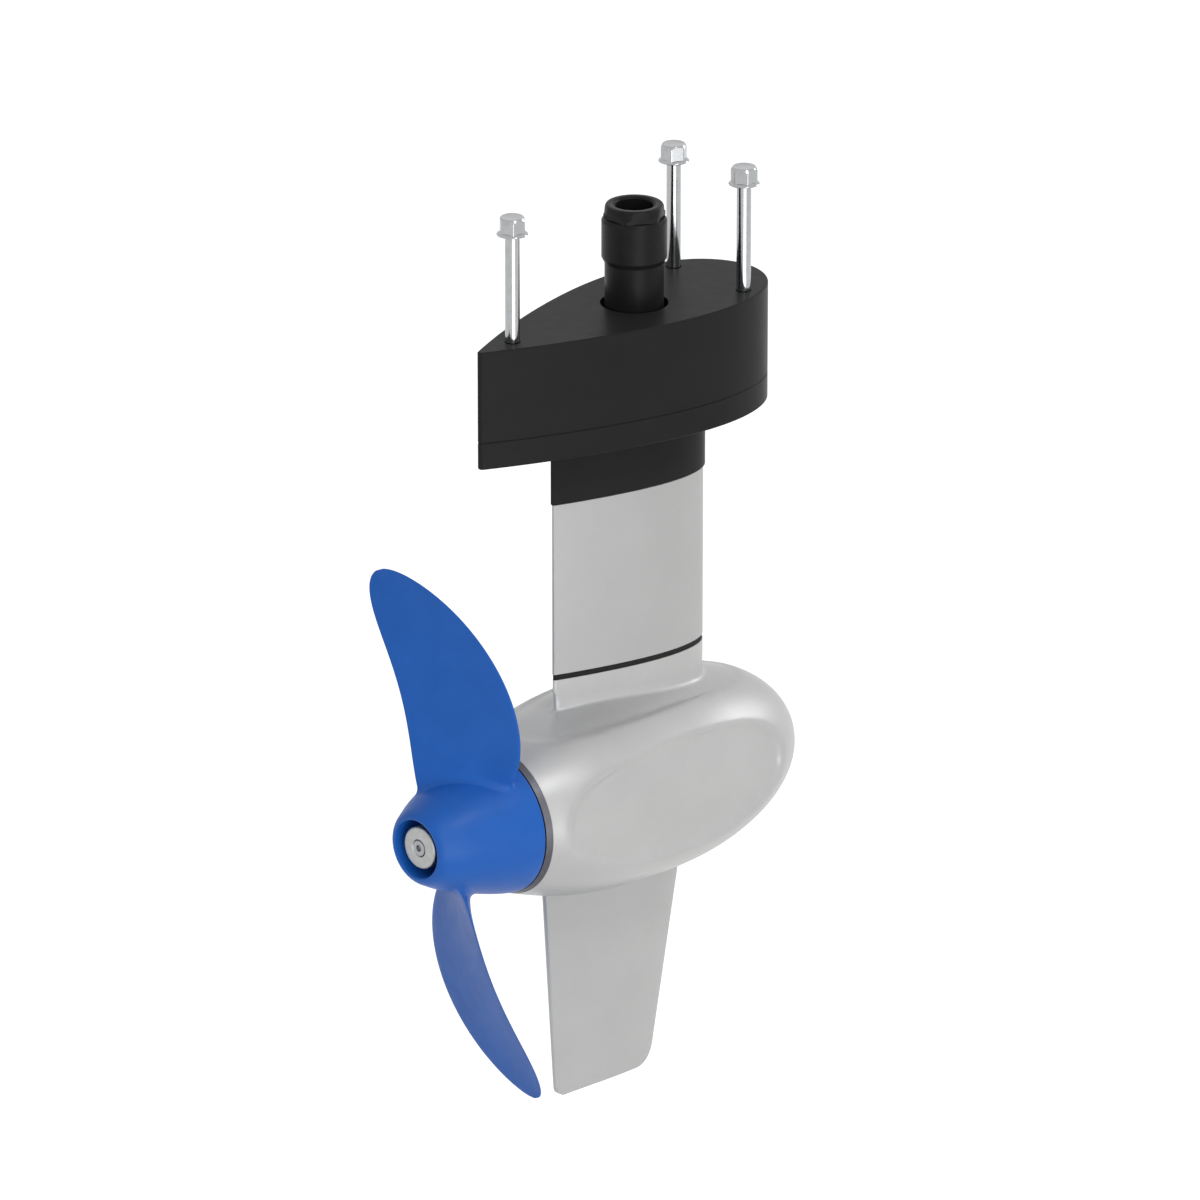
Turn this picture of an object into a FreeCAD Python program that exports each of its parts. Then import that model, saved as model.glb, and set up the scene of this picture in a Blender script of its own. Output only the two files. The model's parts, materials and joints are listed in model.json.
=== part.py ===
import FreeCAD, Part
import math
import os

os.makedirs("parts", exist_ok=True)

# Fixed pod drive for a hull: a foil-shaped block and flange, a hollow column, a cast pod with a
# direct-drive motor, a skeg fin and a two-blade propeller.
# Millimetres. Origin: middle of the cable hole in the hull face. +X ahead, +Y port, +Z up.

# Hull block and base flange, seen from above as one foil
block_nose_x = 89.0
block_chord = 205.3
block_thickness = 85.0
block_fullness = -0.09
block_height = 52.2
block_wall = 7.0
block_deck = 9.0
block_edge_round = 0.8
seam_bevel = 0.5
rib_width = 4.0
cross_rib_count = 4
plate_height = 15.2
collar_height = 35.0
collar_proud = 1.0
collar_chamfer = 0.8

# Hull bolts, M8 with a flanged hexagon head
bolt_fore_x = 57.0
bolt_fore_spacing = 54.6
bolt_aft_x = -92.0
bolt_radius = 4.0
bolt_relief = 0.2
bolt_relief_z = 0.3
bolt_thread_radius = 3.3
bolt_head_seat_z = 61.2
bolt_shank_end_z = -50.0
bolt_tip_z = -63.0
bolt_flange_radius = 8.9
bolt_flange_height = 2.2
bolt_hex_across = 13.0
bolt_hex_height = 8.0
bolt_crown_height = 2.6
bolt_crown_inset = 0.8
bolt_corner_cut = 0.6
bolt_hole_radius = 4.4
bolt_boss_radius = 9.5
insert_radius = 6.0
insert_length = 13.5

# Cable gland on the axis of the hull face
gland_hole_radius = 18.75
gland_boss_radius = 24.0
stem_radius = 16.25
stem_bore_radius = 12.0
stem_top_z = 31.0
gland_body_radius = 18.0
gland_body_bottom_z = 24.0
gland_body_top_z = 49.5
gland_body_chamfer = 1.8
gland_lip = 1.2
cap_across = 31.0
cap_top_z = 57.0
cap_top_bevel = 1.6
cap_corner_cut = 0.9
cap_crown_lean = 2.2
cap_thread_radius = 14.9
cable_radius = 10.5
gland_seal_length = 10.5

# Column, a hollow foil
column_nose_x = 48.1
column_chord = 109.7
column_thickness = 37.0
column_fullness = 0.0
column_wall = 7.0
column_bottom_z = -201.5
tenon_step = 3.5
neck_seal_height = 3.3
neck_seal_inset = 0.5
tie_fore_x = 31.0
tie_aft_x = -30.0
tie_radius = 4.0
tie_thread_radius = 3.3
tie_boss_radius = 10.0
tie_head_radius = 6.5
tie_head_height = 8.0
tie_washer_radius = 7.6
tie_washer_height = 1.6
tie_socket_across = 6.0
tie_thread_depth = 24.0
tie_head_sink = 0.4
collar_seal_section = 1.5
collar_seal_rise = 8.0
collar_seal_gap = 0.1

# Pod: round at its tail, a little wider than high where it is fullest
pod_drop = 70.4
pod_tail_x = -103.0
pod_full_x = -0.5
pod_nose_x = 108.9
pod_full_radius = 57.5
pod_widening = 1.068
hub_face_x = -106.9
hub_face_radius = 40.7
tail_power = 2.86
nose_length_power = 1.877
nose_height_power = 2.26

# Hollow of the shoulders round the neck, and the oval recess on each side
shoulder_centre_x = -8.0
shoulder_half_length = 86.0
shoulder_half_width = 33.0
shoulder_power = 2.4
shoulder_floor_centre_x = -14.2
shoulder_floor_length = 134.4
shoulder_floor_width = 60.4
shoulder_floor_height = 55.3
shoulder_slope = 1.0
recess_centre_x = -10.5
recess_rise = 4.2
recess_half_length = 82.0
recess_half_height = 31.0
recess_power = 2.35
recess_floor_centre_x = -11.7
recess_floor_y = 53.7
recess_floor_length = 146.5
recess_floor_height = 78.8
recess_tilt = 10.2
recess_slope = 1.0

# Skeg fin
fin_root_wall = 8.8
fin_length = 135.9
fin_root_nose_x = 39.0
fin_tip_nose_x = 12.5
fin_root_tail_x = -69.7
fin_tip_tail_x = -60.2
fin_root_thickness = 9.0
fin_tip_thickness = 6.5
fin_tail_width = 3.4
fin_nose_round = 13.0
fin_tail_round = 5.0
fin_screw_x = (-45.0, 5.0)
fin_screw_radius = 2.5
fin_screw_thread_radius = 2.1
fin_screw_head_radius = 4.6
fin_screw_head_height = 2.6
fin_screw_length = 22.0
fin_screw_sink = 1.0
fin_socket_across = 3.0
fin_socket_depth = 1.6

# Motor
motor_bore_radius = 34.0
chamber_radius = 29.0
chamber_end_x = 72.0
lead_hole_x = 9.0
lead_hole_radius = 7.5
stack_aft_x = -78.0
stack_length = 70.0
stator_bore_radius = 21.5
stator_yoke = 4.5
tooth_count = 12
tooth_width = 6.0
tooth_shoe_height = 1.8
tooth_shoe_angle = 24.0
coil_side = 2.7
coil_overhang = 7.0
coil_foot_gap = 0.5
coil_top_gap = 0.8
coil_end_gap = 0.3
air_gap = 0.7
rotor_end_gap = 0.1
magnet_count = 14
magnet_thickness = 3.0
magnet_angle = 22.0
rotor_hole_count = 7
rotor_hole_radius = 2.4
rotor_hole_circle = 13.3

# Shaft
shaft_rotor_radius = 8.5
shaft_collar_radius = 9.7
shaft_rear_radius = 7.5
shaft_front_radius = 6.0
shaft_prop_radius = 7.0
shaft_thread_radius = 5.9
shaft_shoulder_x = -119.0
shaft_front_step_x = 20.0
shaft_front_seat_length = 10.0
shaft_front_end_x = 32.0
key_width = 5.0
key_height = 5.0
key_length = 28.0
circlip_thickness = 1.0
circlip_radius = 11.0
circlip_width = 2.9
circlip_opening = 4.0

# Bearings: bore radius, outer radius and width of each
rear_bearing_outer_radius = 17.5
rear_bearing_width = 11.0
rear_bearing_ball_radius = 2.95
rear_bearing_aft_x = -99.0
front_bearing_outer_radius = 14.0
front_bearing_width = 8.0
front_bearing_ball_radius = 2.35
front_bearing_aft_x = 22.0
bearing_shield = 0.8
spring_height = 0.7

# Rear cover and front bearing carrier
cover_spigot_length = 9.0
cover_web = 5.0
cover_boss_radius = 21.5
seal_boss_radius = 17.0
seal_outer_radius = 13.0
seal_width = 6.5
seal_count = 2
seal_boss_end_x = -116.0
cover_screw_circle = 37.2
cover_screw_count = 6
cover_screw_radius = 1.5
cover_screw_thread_radius = 1.25
cover_screw_head_radius = 2.8
cover_screw_head_height = 1.7
cover_screw_length = 14.0
screw_sink = 0.05
oring_section = 2.0
oring_offset = 4.0
oring_play = 0.3
carrier_aft_x = 18.0
carrier_thickness = 6.0
carrier_boss_radius = 17.5
carrier_boss_length = 12.0
carrier_screw_circle = 31.4
carrier_screw_count = 4
carrier_screw_depth = 9.0
carrier_screw_head_radius = 2.2
carrier_lead_hole_radius = 3.0
carrier_lead_hole_circle = 24.0
carrier_lead_hole_count = 3

# Controller in the nose of the pod
spreader_thickness = 5.0
board_radius = 26.0
board_thickness = 1.6
board_gap = 0.1
board_aft_x = 55.0
transistor_count = 6
transistor_size = (4.5, 10.0, 15.0)
transistor_circle = 14.5
transistor_leg_inset = 1.0
transistor_leg_thickness = 1.2
transistor_leg_overlap = 0.2
capacitor_count = 3
capacitor_radius = 5.0
capacitor_length = 16.0
capacitor_circle = 12.0
spacer_count = 3
spacer_radius = 2.5
spacer_stud_radius = 1.5
spacer_head_height = 2.0
spacer_circle = 23.0

# Propeller: a hub with two swept blades
hub_length = 59.2
hub_profile = ((0.0, 40.7), (14.3, 37.7), (28.5, 33.4), (42.8, 28.1), (53.0, 23.3))
hub_rim_radius = 18.6
hub_recess_radius = 16.6
hub_recess_depth = 20.0
hub_wall = 5.0
hub_pocket_depth = 33.0
hub_boss_radius = 13.0
hub_rib_count = 6
hub_rib_width = 3.5
blade_count = 2
blade_tip_radius = 151.2
blade_foot_radius = 24.0
blade_span_start = 35.0
blade_sections = 10
# Each law is a polynomial in the share of the span, from 0 at its start to 1 at the tip
blade_pitch = (149.0, -10.0, 62.0)
blade_chord = (53.2, 95.2, -81.6, 5.0)
blade_skew = (-2.9, -21.4, 94.1, -45.7)
blade_axial = (-132.7, 3.4, -10.4, 5.6)
blade_tip_power = 2.4
blade_tip_share = 0.998
blade_root_thickness = 8.5
blade_tip_thickness = 2.0
blade_root_flare = 5.0
blade_flare_reach = 5.0
blade_camber = 0.035

# Hardware in the hub
washer_gap = 0.1
thrust_washer_thickness = 2.3
thrust_washer_radius = 12.5
drive_pin_radius = 2.5
drive_pin_length = 24.0
drive_pin_x = -125.0
prop_washer_thickness = 1.8
prop_washer_radius = 12.0
prop_nut_across = 19.0
prop_nut_height = 9.0
anode_radius = 12.0
anode_thickness = 5.8
anode_end_x = -164.0
anode_screw_radius = 2.4
anode_screw_head_radius = 4.4
anode_screw_head_height = 2.6
anode_screw_head_gap = 0.5
anode_edge_round = 0.8
anode_screw_length = 16.0
anode_socket_across = 3.0
anode_socket_depth = 1.8

# Clearances, each on the radius or on the face
fit = 0.05
running = 0.06
slip = 0.15

vector = FreeCAD.Vector
x_axis = vector(1, 0, 0)
z_axis = vector(0, 0, 1)

plate_top_z = -block_height
plate_bottom_z = plate_top_z - plate_height
collar_bottom_z = plate_bottom_z - collar_height
neck_top_z = column_bottom_z - neck_seal_height
pod_axis_z = neck_top_z - pod_drop
recess_centre_z = pod_axis_z + recess_rise
fin_root_z = pod_axis_z - motor_bore_radius - fin_root_wall
fin_tip_z = fin_root_z - fin_length
collar_seal_z = collar_bottom_z + collar_seal_rise
stack_fore_x = stack_aft_x + stack_length
rotor_radius = stator_bore_radius - air_gap
bolt_places = (
    (bolt_aft_x, 0.0),
    (bolt_fore_x, bolt_fore_spacing / 2),
    (bolt_fore_x, -bolt_fore_spacing / 2),
)
tie_places = (tie_fore_x, tie_aft_x)


def save(name, *shapes):
    """Write one node: a solid, or several separate solids."""
    solids = [solid for shape in shapes for solid in shape.Solids]
    whole = solids[0] if len(solids) == 1 else Part.makeCompound(solids)
    whole.exportStep("parts/" + name + ".step")


def turned(angle, shape):
    """A copy turned about the pod's axis."""
    copy = shape.copy()
    copy.rotate(vector(0, 0, pod_axis_z), x_axis, angle)
    return copy


def round_pattern(shape, count):
    return [turned(360.0 * i / count, shape) for i in range(count)]


def rod_x(radius, x0, x1, y=0.0, z=0.0):
    """A cylinder along X; z is measured from the pod's axis."""
    return Part.makeCylinder(radius, x1 - x0, vector(x0, y, pod_axis_z + z), x_axis)


def rod_z(radius, z0, z1, x=0.0, y=0.0):
    return Part.makeCylinder(radius, z1 - z0, vector(x, y, z0), z_axis)


def tube_x(outer, inner, x0, x1):
    return rod_x(outer, x0, x1).cut(rod_x(inner, x0 - 1, x1 + 1))


def cone_x(r0, r1, x0, x1, z=0.0):
    return Part.makeCone(r0, r1, x1 - x0, vector(x0, 0, pod_axis_z + z), x_axis)


def block(x0, x1, y0, y1, z0, z1):
    return Part.makeBox(x1 - x0, y1 - y0, z1 - z0, vector(x0, y0, z0))


def hexagon_prism(across, origin, direction, length):
    """A hexagonal bar with its flats square to the second axis of the frame."""
    corner = across / math.sqrt(3)
    side = z_axis if abs(direction.x) > 0.5 else x_axis
    other = direction.cross(side)
    points = []
    for i in range(6):
        angle = math.radians(30 + 60 * i)
        points.append(origin + side * (corner * math.cos(angle)) + other * (corner * math.sin(angle)))
    wire = Part.makePolygon(points + points[:1])
    return Part.Face(wire).extrude(direction * length)


def foil_half_width(share, thickness, fullness):
    shape = (0.2969 * math.sqrt(share) - 0.1260 * share - 0.3516 * share ** 2
             + 0.2843 * share ** 3 - 0.1015 * share ** 4)
    return 5 * thickness * shape * (1 + fullness * (0.3 - share))


def foil_wire(z, nose_x, chord, thickness, fullness=0.0, grow=0.0, tail=2.0, steps=7, split=False):
    """A foil outline at height z with a rounded tail; grow moves it all out, split parts it at the nose."""
    nose_x += grow
    chord += 2 * grow
    thickness += 2 * grow
    side = []
    for i in range(1, steps + 1):
        share = 0.5 * (1 - math.cos(math.pi * i / steps))
        half = foil_half_width(share, thickness, fullness) + tail / 2 * share ** 4
        side.append((nose_x - chord * share, half))
    points = [vector(x, y, z) for x, y in reversed(side)]
    points.append(vector(nose_x, 0, z))
    points += [vector(x, -y, z) for x, y in side]
    skin = Part.BSplineCurve()
    skin.interpolate(points)
    bulge = vector(nose_x - chord - points[0].y * 0.5, 0, z)
    tail_arc = Part.Arc(points[-1], bulge, points[0])
    if not split:
        return Part.Wire([skin.toShape(), tail_arc.toShape()])
    start, end = skin.FirstParameter, skin.LastParameter
    middle = (start + end) / 2
    return Part.Wire([skin.toShape(start, middle), skin.toShape(middle, end), tail_arc.toShape()])


def prism(wire, height):
    return Part.Face(wire).extrude(vector(0, 0, height))


def hull_foil(z0, z1, grow=0.0):
    wire = foil_wire(z0, block_nose_x, block_chord, block_thickness, block_fullness, grow)
    return prism(wire, z1 - z0)


def column_foil(z0, z1, grow=0.0):
    wire = foil_wire(z0, column_nose_x, column_chord, column_thickness, column_fullness, grow, tail=1.2)
    return prism(wire, z1 - z0)


def edges_at(shape, z, tolerance=0.01):
    """Edges that lie at one height."""
    found = []
    for edge in shape.Edges:
        box = edge.BoundBox
        if abs(box.ZMin - z) < tolerance and abs(box.ZMax - z) < tolerance:
            found.append(edge)
    return found


def oval_points(centre_u, centre_v, half_u, half_v, power, steps=4):
    """Points of a rounded oval, counter-clockwise, the first at its +u end."""
    points = []
    for i in range(4 * steps):
        angle = 2 * math.pi * i / (4 * steps)
        c = math.cos(angle)
        s = math.sin(angle)
        u = centre_u + half_u * math.copysign(abs(c) ** (2 / power), c)
        v = centre_v + half_v * math.copysign(abs(s) ** (2 / power), s)
        points.append((u, v))
    return points


def closed_spline(points):
    curve = Part.BSplineCurve()
    curve.interpolate(Points=points, PeriodicFlag=True)
    return Part.Wire([curve.toShape()])


def polynomial(law, share):
    return sum(factor * share ** power for power, factor in enumerate(law))


# Hull block: a deep shell, open below, with bosses and ribs
def hull_block():
    body = hull_foil(plate_top_z, 0.0)
    body = body.makeFillet(block_edge_round, edges_at(body, 0.0))
    body = body.makeChamfer(seam_bevel, edges_at(body, plate_top_z))
    core = hull_foil(plate_top_z, -block_deck, -block_wall)
    solid_parts = [rod_z(gland_boss_radius, plate_top_z, 0.0)]
    solid_parts += [rod_z(bolt_boss_radius, plate_top_z, 0.0, x, y) for x, y in bolt_places]
    tail_x = block_nose_x - block_chord
    half = block_thickness / 2
    solid_parts.append(block(tail_x, block_nose_x, -rib_width / 2, rib_width / 2, plate_top_z, 0.0))
    for i in range(cross_rib_count):
        x = tail_x + block_chord * (i + 1.5) / (cross_rib_count + 1.5)
        solid_parts.append(block(x - rib_width / 2, x + rib_width / 2, -half, half, plate_top_z, 0.0))
    for part in solid_parts:
        core = core.cut(part)
    body = body.cut(core)
    body = body.cut(rod_z(gland_hole_radius, plate_top_z - 1, 1.0))
    for x, y in bolt_places:
        body = body.cut(rod_z(bolt_hole_radius, plate_top_z - 1, 1.0, x, y))
    return body


# Base flange: plate and collar in one moulding
def base_flange():
    plate = hull_foil(plate_bottom_z, plate_top_z)
    plate = plate.makeChamfer(seam_bevel, edges_at(plate, plate_top_z))
    plate = plate.makeFillet(block_edge_round, edges_at(plate, plate_bottom_z))
    collar = column_foil(collar_bottom_z, plate_bottom_z, collar_proud)
    collar = collar.makeChamfer(collar_chamfer, edges_at(collar, collar_bottom_z))
    body = plate.fuse(collar)
    body = body.cut(column_foil(collar_bottom_z - 1, plate_bottom_z, slip - tenon_step))
    body = body.cut(rod_z(stem_radius + fit, plate_bottom_z - 1, plate_top_z + 1))
    for x, y in bolt_places:
        body = body.cut(rod_z(insert_radius + fit, plate_top_z - insert_length, plate_top_z + 1, x, y))
    for x in tie_places:
        body = body.cut(rod_z(tie_radius + slip, plate_bottom_z - 1, plate_top_z + 1, x))
        body = body.cut(rod_z(tie_washer_radius + slip, tie_seat_z(), plate_top_z + 1, x))
    return body


def hull_bolt(x, y):
    """Plain shank, thread, and a flanged hexagon head with a round crown."""
    hex_z = bolt_head_seat_z + bolt_flange_height
    top_z = hex_z + bolt_hex_height
    crown_z = top_z - bolt_crown_height
    flat = bolt_hex_across / 2
    corner = bolt_hex_across / math.sqrt(3)
    shank = rod_z(bolt_radius, bolt_relief_z, bolt_head_seat_z, x, y)
    lower = rod_z(bolt_radius - bolt_relief, bolt_shank_end_z, bolt_relief_z, x, y)
    thread = rod_z(bolt_thread_radius, bolt_tip_z, bolt_shank_end_z, x, y)
    seat = vector(x, y, bolt_head_seat_z)
    flange = Part.makeCone(bolt_flange_radius, flat + bolt_corner_cut, bolt_flange_height, seat, z_axis)
    head = hexagon_prism(bolt_hex_across, vector(x, y, hex_z - 1), z_axis, bolt_hex_height + 1)
    side = rod_z(corner + 1, hex_z - 1, crown_z, x, y)
    crown_end = vector(x, y, crown_z)
    crown = Part.makeCone(corner + bolt_corner_cut, flat - bolt_crown_inset, bolt_crown_height, crown_end, z_axis)
    head = head.common(side.fuse(crown))
    return shank.fuse([lower, thread, flange, head]).removeSplitter()


def bolt_insert(x, y):
    top_z = plate_top_z - 0.2
    body = rod_z(insert_radius, top_z - insert_length + 0.3, top_z, x, y)
    return body.cut(rod_z(bolt_thread_radius + fit, plate_bottom_z, plate_top_z + 1, x, y))


# Cable gland
def gland_stem():
    body = rod_z(stem_radius, plate_bottom_z + 0.4, stem_top_z)
    return body.cut(rod_z(stem_bore_radius, plate_bottom_z - 1, stem_top_z + 1))


def gland_body():
    outer = (
        (stem_radius + fit, gland_body_bottom_z),
        (stem_radius + 0.3, gland_body_bottom_z),
        (gland_body_radius, gland_body_bottom_z + gland_body_chamfer * 1.6),
        (gland_body_radius, gland_body_top_z - gland_body_chamfer),
        (gland_body_radius - gland_lip, gland_body_top_z),
        (cap_thread_radius + fit, gland_body_top_z),
        (cap_thread_radius + fit, stem_top_z + 0.2),
        (stem_radius + fit, stem_top_z + 0.2),
    )
    points = [vector(r, 0, z) for r, z in outer]
    face = Part.Face(Part.makePolygon(points + points[:1]))
    return face.revolve(vector(0, 0, 0), z_axis, 360)


def gland_cap():
    head_z = gland_body_top_z + 0.1
    head = hexagon_prism(cap_across, vector(0, 0, head_z), z_axis, cap_top_z - head_z)
    corner = cap_across / math.sqrt(3)
    crown_z = cap_top_z - cap_top_bevel
    rim_radius = corner - cap_corner_cut
    rim = rod_z(rim_radius, head_z, crown_z)
    crown = Part.makeCone(rim_radius, rim_radius - cap_crown_lean * cap_top_bevel, cap_top_bevel,
                          vector(0, 0, crown_z), z_axis)
    skirt_z = stem_top_z + gland_seal_length + 0.8
    body = head.common(rim.fuse(crown)).fuse(rod_z(cap_thread_radius, skirt_z, head_z))
    return body.cut(rod_z(cable_radius, skirt_z - 1, cap_top_z + 1)).removeSplitter()


def gland_seal():
    bottom_z = stem_top_z + 0.3
    body = rod_z(cap_thread_radius - fit, bottom_z, bottom_z + gland_seal_length)
    return body.cut(rod_z(cable_radius, bottom_z - 1, cap_top_z))


# Column with its tenon, cable channel and two long bosses
def pylon():
    top_z = plate_bottom_z - 0.2
    body = column_foil(column_bottom_z, collar_bottom_z)
    body = body.fuse(column_foil(collar_bottom_z, top_z, -tenon_step))
    channel = column_foil(column_bottom_z - 1, top_z + 1, -column_wall)
    for x in tie_places:
        channel = channel.cut(rod_z(tie_boss_radius, column_bottom_z - 1, top_z + 1, x))
    body = body.cut(channel)
    for x in tie_places:
        body = body.cut(rod_z(tie_radius + slip, column_bottom_z - 1, top_z + 1, x))
    end_z = collar_seal_z + 2 * collar_seal_section
    groove = column_foil(collar_seal_z, end_z)
    groove = groove.cut(column_foil(collar_seal_z, end_z, -tenon_step - collar_seal_section))
    return body.cut(groove)


def collar_seal():
    z0 = collar_seal_z + collar_seal_gap
    z1 = collar_seal_z + 2 * collar_seal_section - collar_seal_gap
    ring = column_foil(z0, z1, -tenon_step)
    return ring.cut(column_foil(z0, z1, -tenon_step - collar_seal_section + fit))


def neck_seal():
    ring = column_foil(neck_top_z, column_bottom_z, -neck_seal_inset)
    return ring.cut(column_foil(neck_top_z, column_bottom_z, -column_wall))


def tie_seat_z():
    return plate_top_z - tie_head_height - tie_washer_height - tie_head_sink


def tie_bolt(x):
    seat_z = tie_seat_z() + tie_washer_height
    head = rod_z(tie_head_radius, seat_z, seat_z + tie_head_height, x)
    socket_end = vector(x, 0, seat_z + tie_head_height / 2)
    socket = hexagon_prism(tie_socket_across, socket_end, z_axis, tie_head_height)
    shank = rod_z(tie_radius, neck_top_z + 1, seat_z, x)
    thread = rod_z(tie_thread_radius, neck_top_z - tie_thread_depth + 2, neck_top_z + 1, x)
    return head.cut(socket).fuse([shank, thread])


def tie_washer(x):
    seat_z = tie_seat_z()
    body = rod_z(tie_washer_radius, seat_z, seat_z + tie_washer_height, x)
    return body.cut(rod_z(tie_radius + slip, seat_z - 1, seat_z + 5, x))


# Pod
def tail_radius(x):
    """Half height and half width of the pod behind its fullest section."""
    share = (x - hub_face_x) / (pod_full_x - hub_face_x)
    swell = 1 - abs(1 - share) ** tail_power
    radius = hub_face_radius + (pod_full_radius - hub_face_radius) * swell
    return radius, radius * (1 + (pod_widening - 1) * swell)


def pod_ring(x, high, wide, steps=12):
    """A closed section of the pod, its seam underneath."""
    points = []
    for i in range(steps):
        angle = 2 * math.pi * i / steps
        points.append(vector(x, wide * math.sin(angle), pod_axis_z - high * math.cos(angle)))
    return closed_spline(points)


def pod_body(tail_stations=5, nose_stations=8):
    """The pod without its neck, lofted through rings to the tip of its nose."""
    wires = []
    for i in range(tail_stations):
        x = pod_tail_x + (pod_full_x - pod_tail_x) * i / (tail_stations - 1)
        high, wide = tail_radius(x)
        wires.append(pod_ring(x, high, wide))
    length = pod_nose_x - pod_full_x
    for i in range(1, nose_stations):
        angle = 0.5 * math.pi * i / nose_stations
        along = math.sin(angle) ** (2 / nose_length_power)
        high = pod_full_radius * math.cos(angle) ** (2 / nose_height_power)
        wires.append(pod_ring(pod_full_x + length * along, high, high * pod_widening))
    wires.append(Part.Vertex(vector(pod_nose_x, 0, pod_axis_z)))
    return Part.makeLoft(wires, True, False)


def ellipsoid(centre, half_x, half_y, half_z):
    """A ball stretched to three half lengths, its poles ahead and astern."""
    ball = Part.makeSphere(1.0)
    ball.rotate(vector(0, 0, 0), vector(0, 1, 0), 90)
    stretch = FreeCAD.Matrix()
    stretch.A11 = half_x
    stretch.A22 = half_y
    stretch.A33 = half_z
    ball = ball.transformGeometry(stretch)
    ball.translate(centre)
    return ball


def shoulder_tool():
    """What is taken off the pod round its neck: a shallow hollow with sloped sides."""
    reach = 16.0
    middle_z = pod_axis_z + pod_full_radius * 0.86
    wires = []
    for level in (-1, 1):
        grow = level * reach * shoulder_slope * 0.5
        outline = oval_points(shoulder_centre_x, 0.0, shoulder_half_length + grow,
                              shoulder_half_width + grow, shoulder_power)
        wires.append(closed_spline([vector(u, v, middle_z + level * reach) for u, v in outline]))
    floor = ellipsoid(vector(shoulder_floor_centre_x, 0, pod_axis_z), shoulder_floor_length,
                      shoulder_floor_width, shoulder_floor_height)
    return Part.makeLoft(wires, True, True).cut(floor)


def recess_tool(side):
    """What is taken off one side of the pod: an oval with sloped walls and a slightly domed floor."""
    reach = 14.0
    wires = []
    for level in (-1, 1):
        grow = level * reach * recess_slope * 0.5
        outline = oval_points(recess_centre_x, recess_centre_z, recess_half_length + grow,
                              recess_half_height + grow, recess_power)
        y = side * (recess_floor_y - 3 + level * reach)
        wires.append(closed_spline([vector(u, y, v) for u, v in outline]))
    centre = vector(recess_floor_centre_x, 0, recess_centre_z)
    floor = ellipsoid(centre, recess_floor_length, recess_floor_y, recess_floor_height)
    floor.rotate(centre, x_axis, side * recess_tilt)
    return Part.makeLoft(wires, True, True).cut(floor)


def pod_housing():
    body = pod_body()
    body = body.cut([shoulder_tool(), recess_tool(-1), recess_tool(1)])
    body = body.fuse(column_foil(pod_axis_z + motor_bore_radius + 2, neck_top_z))
    bore_floor_z = pod_axis_z - motor_bore_radius
    carrier_seat_x = carrier_aft_x + carrier_thickness
    tools = [
        rod_x(motor_bore_radius, pod_tail_x - 1, carrier_seat_x),
        rod_x(chamber_radius, carrier_seat_x - 1, chamber_end_x),
        rod_z(lead_hole_radius, pod_axis_z, neck_top_z + 1, lead_hole_x),
        skeg_fin_form(slip),
    ]
    for x in tie_places:
        tools.append(rod_z(tie_thread_radius + fit, neck_top_z - tie_thread_depth, neck_top_z + 1, x))
    for x in fin_screw_x:
        tools.append(rod_z(fin_screw_radius + slip, fin_root_z - 1, bore_floor_z + 2, x))
        sink_z = bore_floor_z - fin_screw_head_height - 1.2
        tools.append(rod_z(fin_screw_head_radius + slip, sink_z, bore_floor_z + 2, x))
    holes = (
        (pod_tail_x, cover_screw_length, cover_screw_circle, cover_screw_count),
        (carrier_seat_x, carrier_screw_depth, carrier_screw_circle, carrier_screw_count),
    )
    for start_x, depth, circle, count in holes:
        hole = rod_x(cover_screw_thread_radius + fit, start_x - 1, start_x + depth, 0, circle)
        tools += [turned(180.0 / count, copy) for copy in round_pattern(hole, count)]
    return body.cut(tools)


# Skeg fin: foil sections that get smaller, trimmed to its side outline
def skeg_fin_form(grow=0.0):
    wires = []
    for z in (fin_root_z, fin_tip_z - 1):
        share = (fin_root_z - z) / (fin_root_z - fin_tip_z)
        nose = fin_root_nose_x + (fin_tip_nose_x - fin_root_nose_x) * share
        tail = fin_root_tail_x + (fin_tip_tail_x - fin_root_tail_x) * share
        thickness = fin_root_thickness + (fin_tip_thickness - fin_root_thickness) * share
        wires.append(foil_wire(z, nose, nose - tail, thickness, 0.0, grow, tail=fin_tail_width, split=True))
    body = Part.makeLoft(wires, True, True)
    if grow:
        body.translate(vector(0, 0, grow))
    return body


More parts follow.
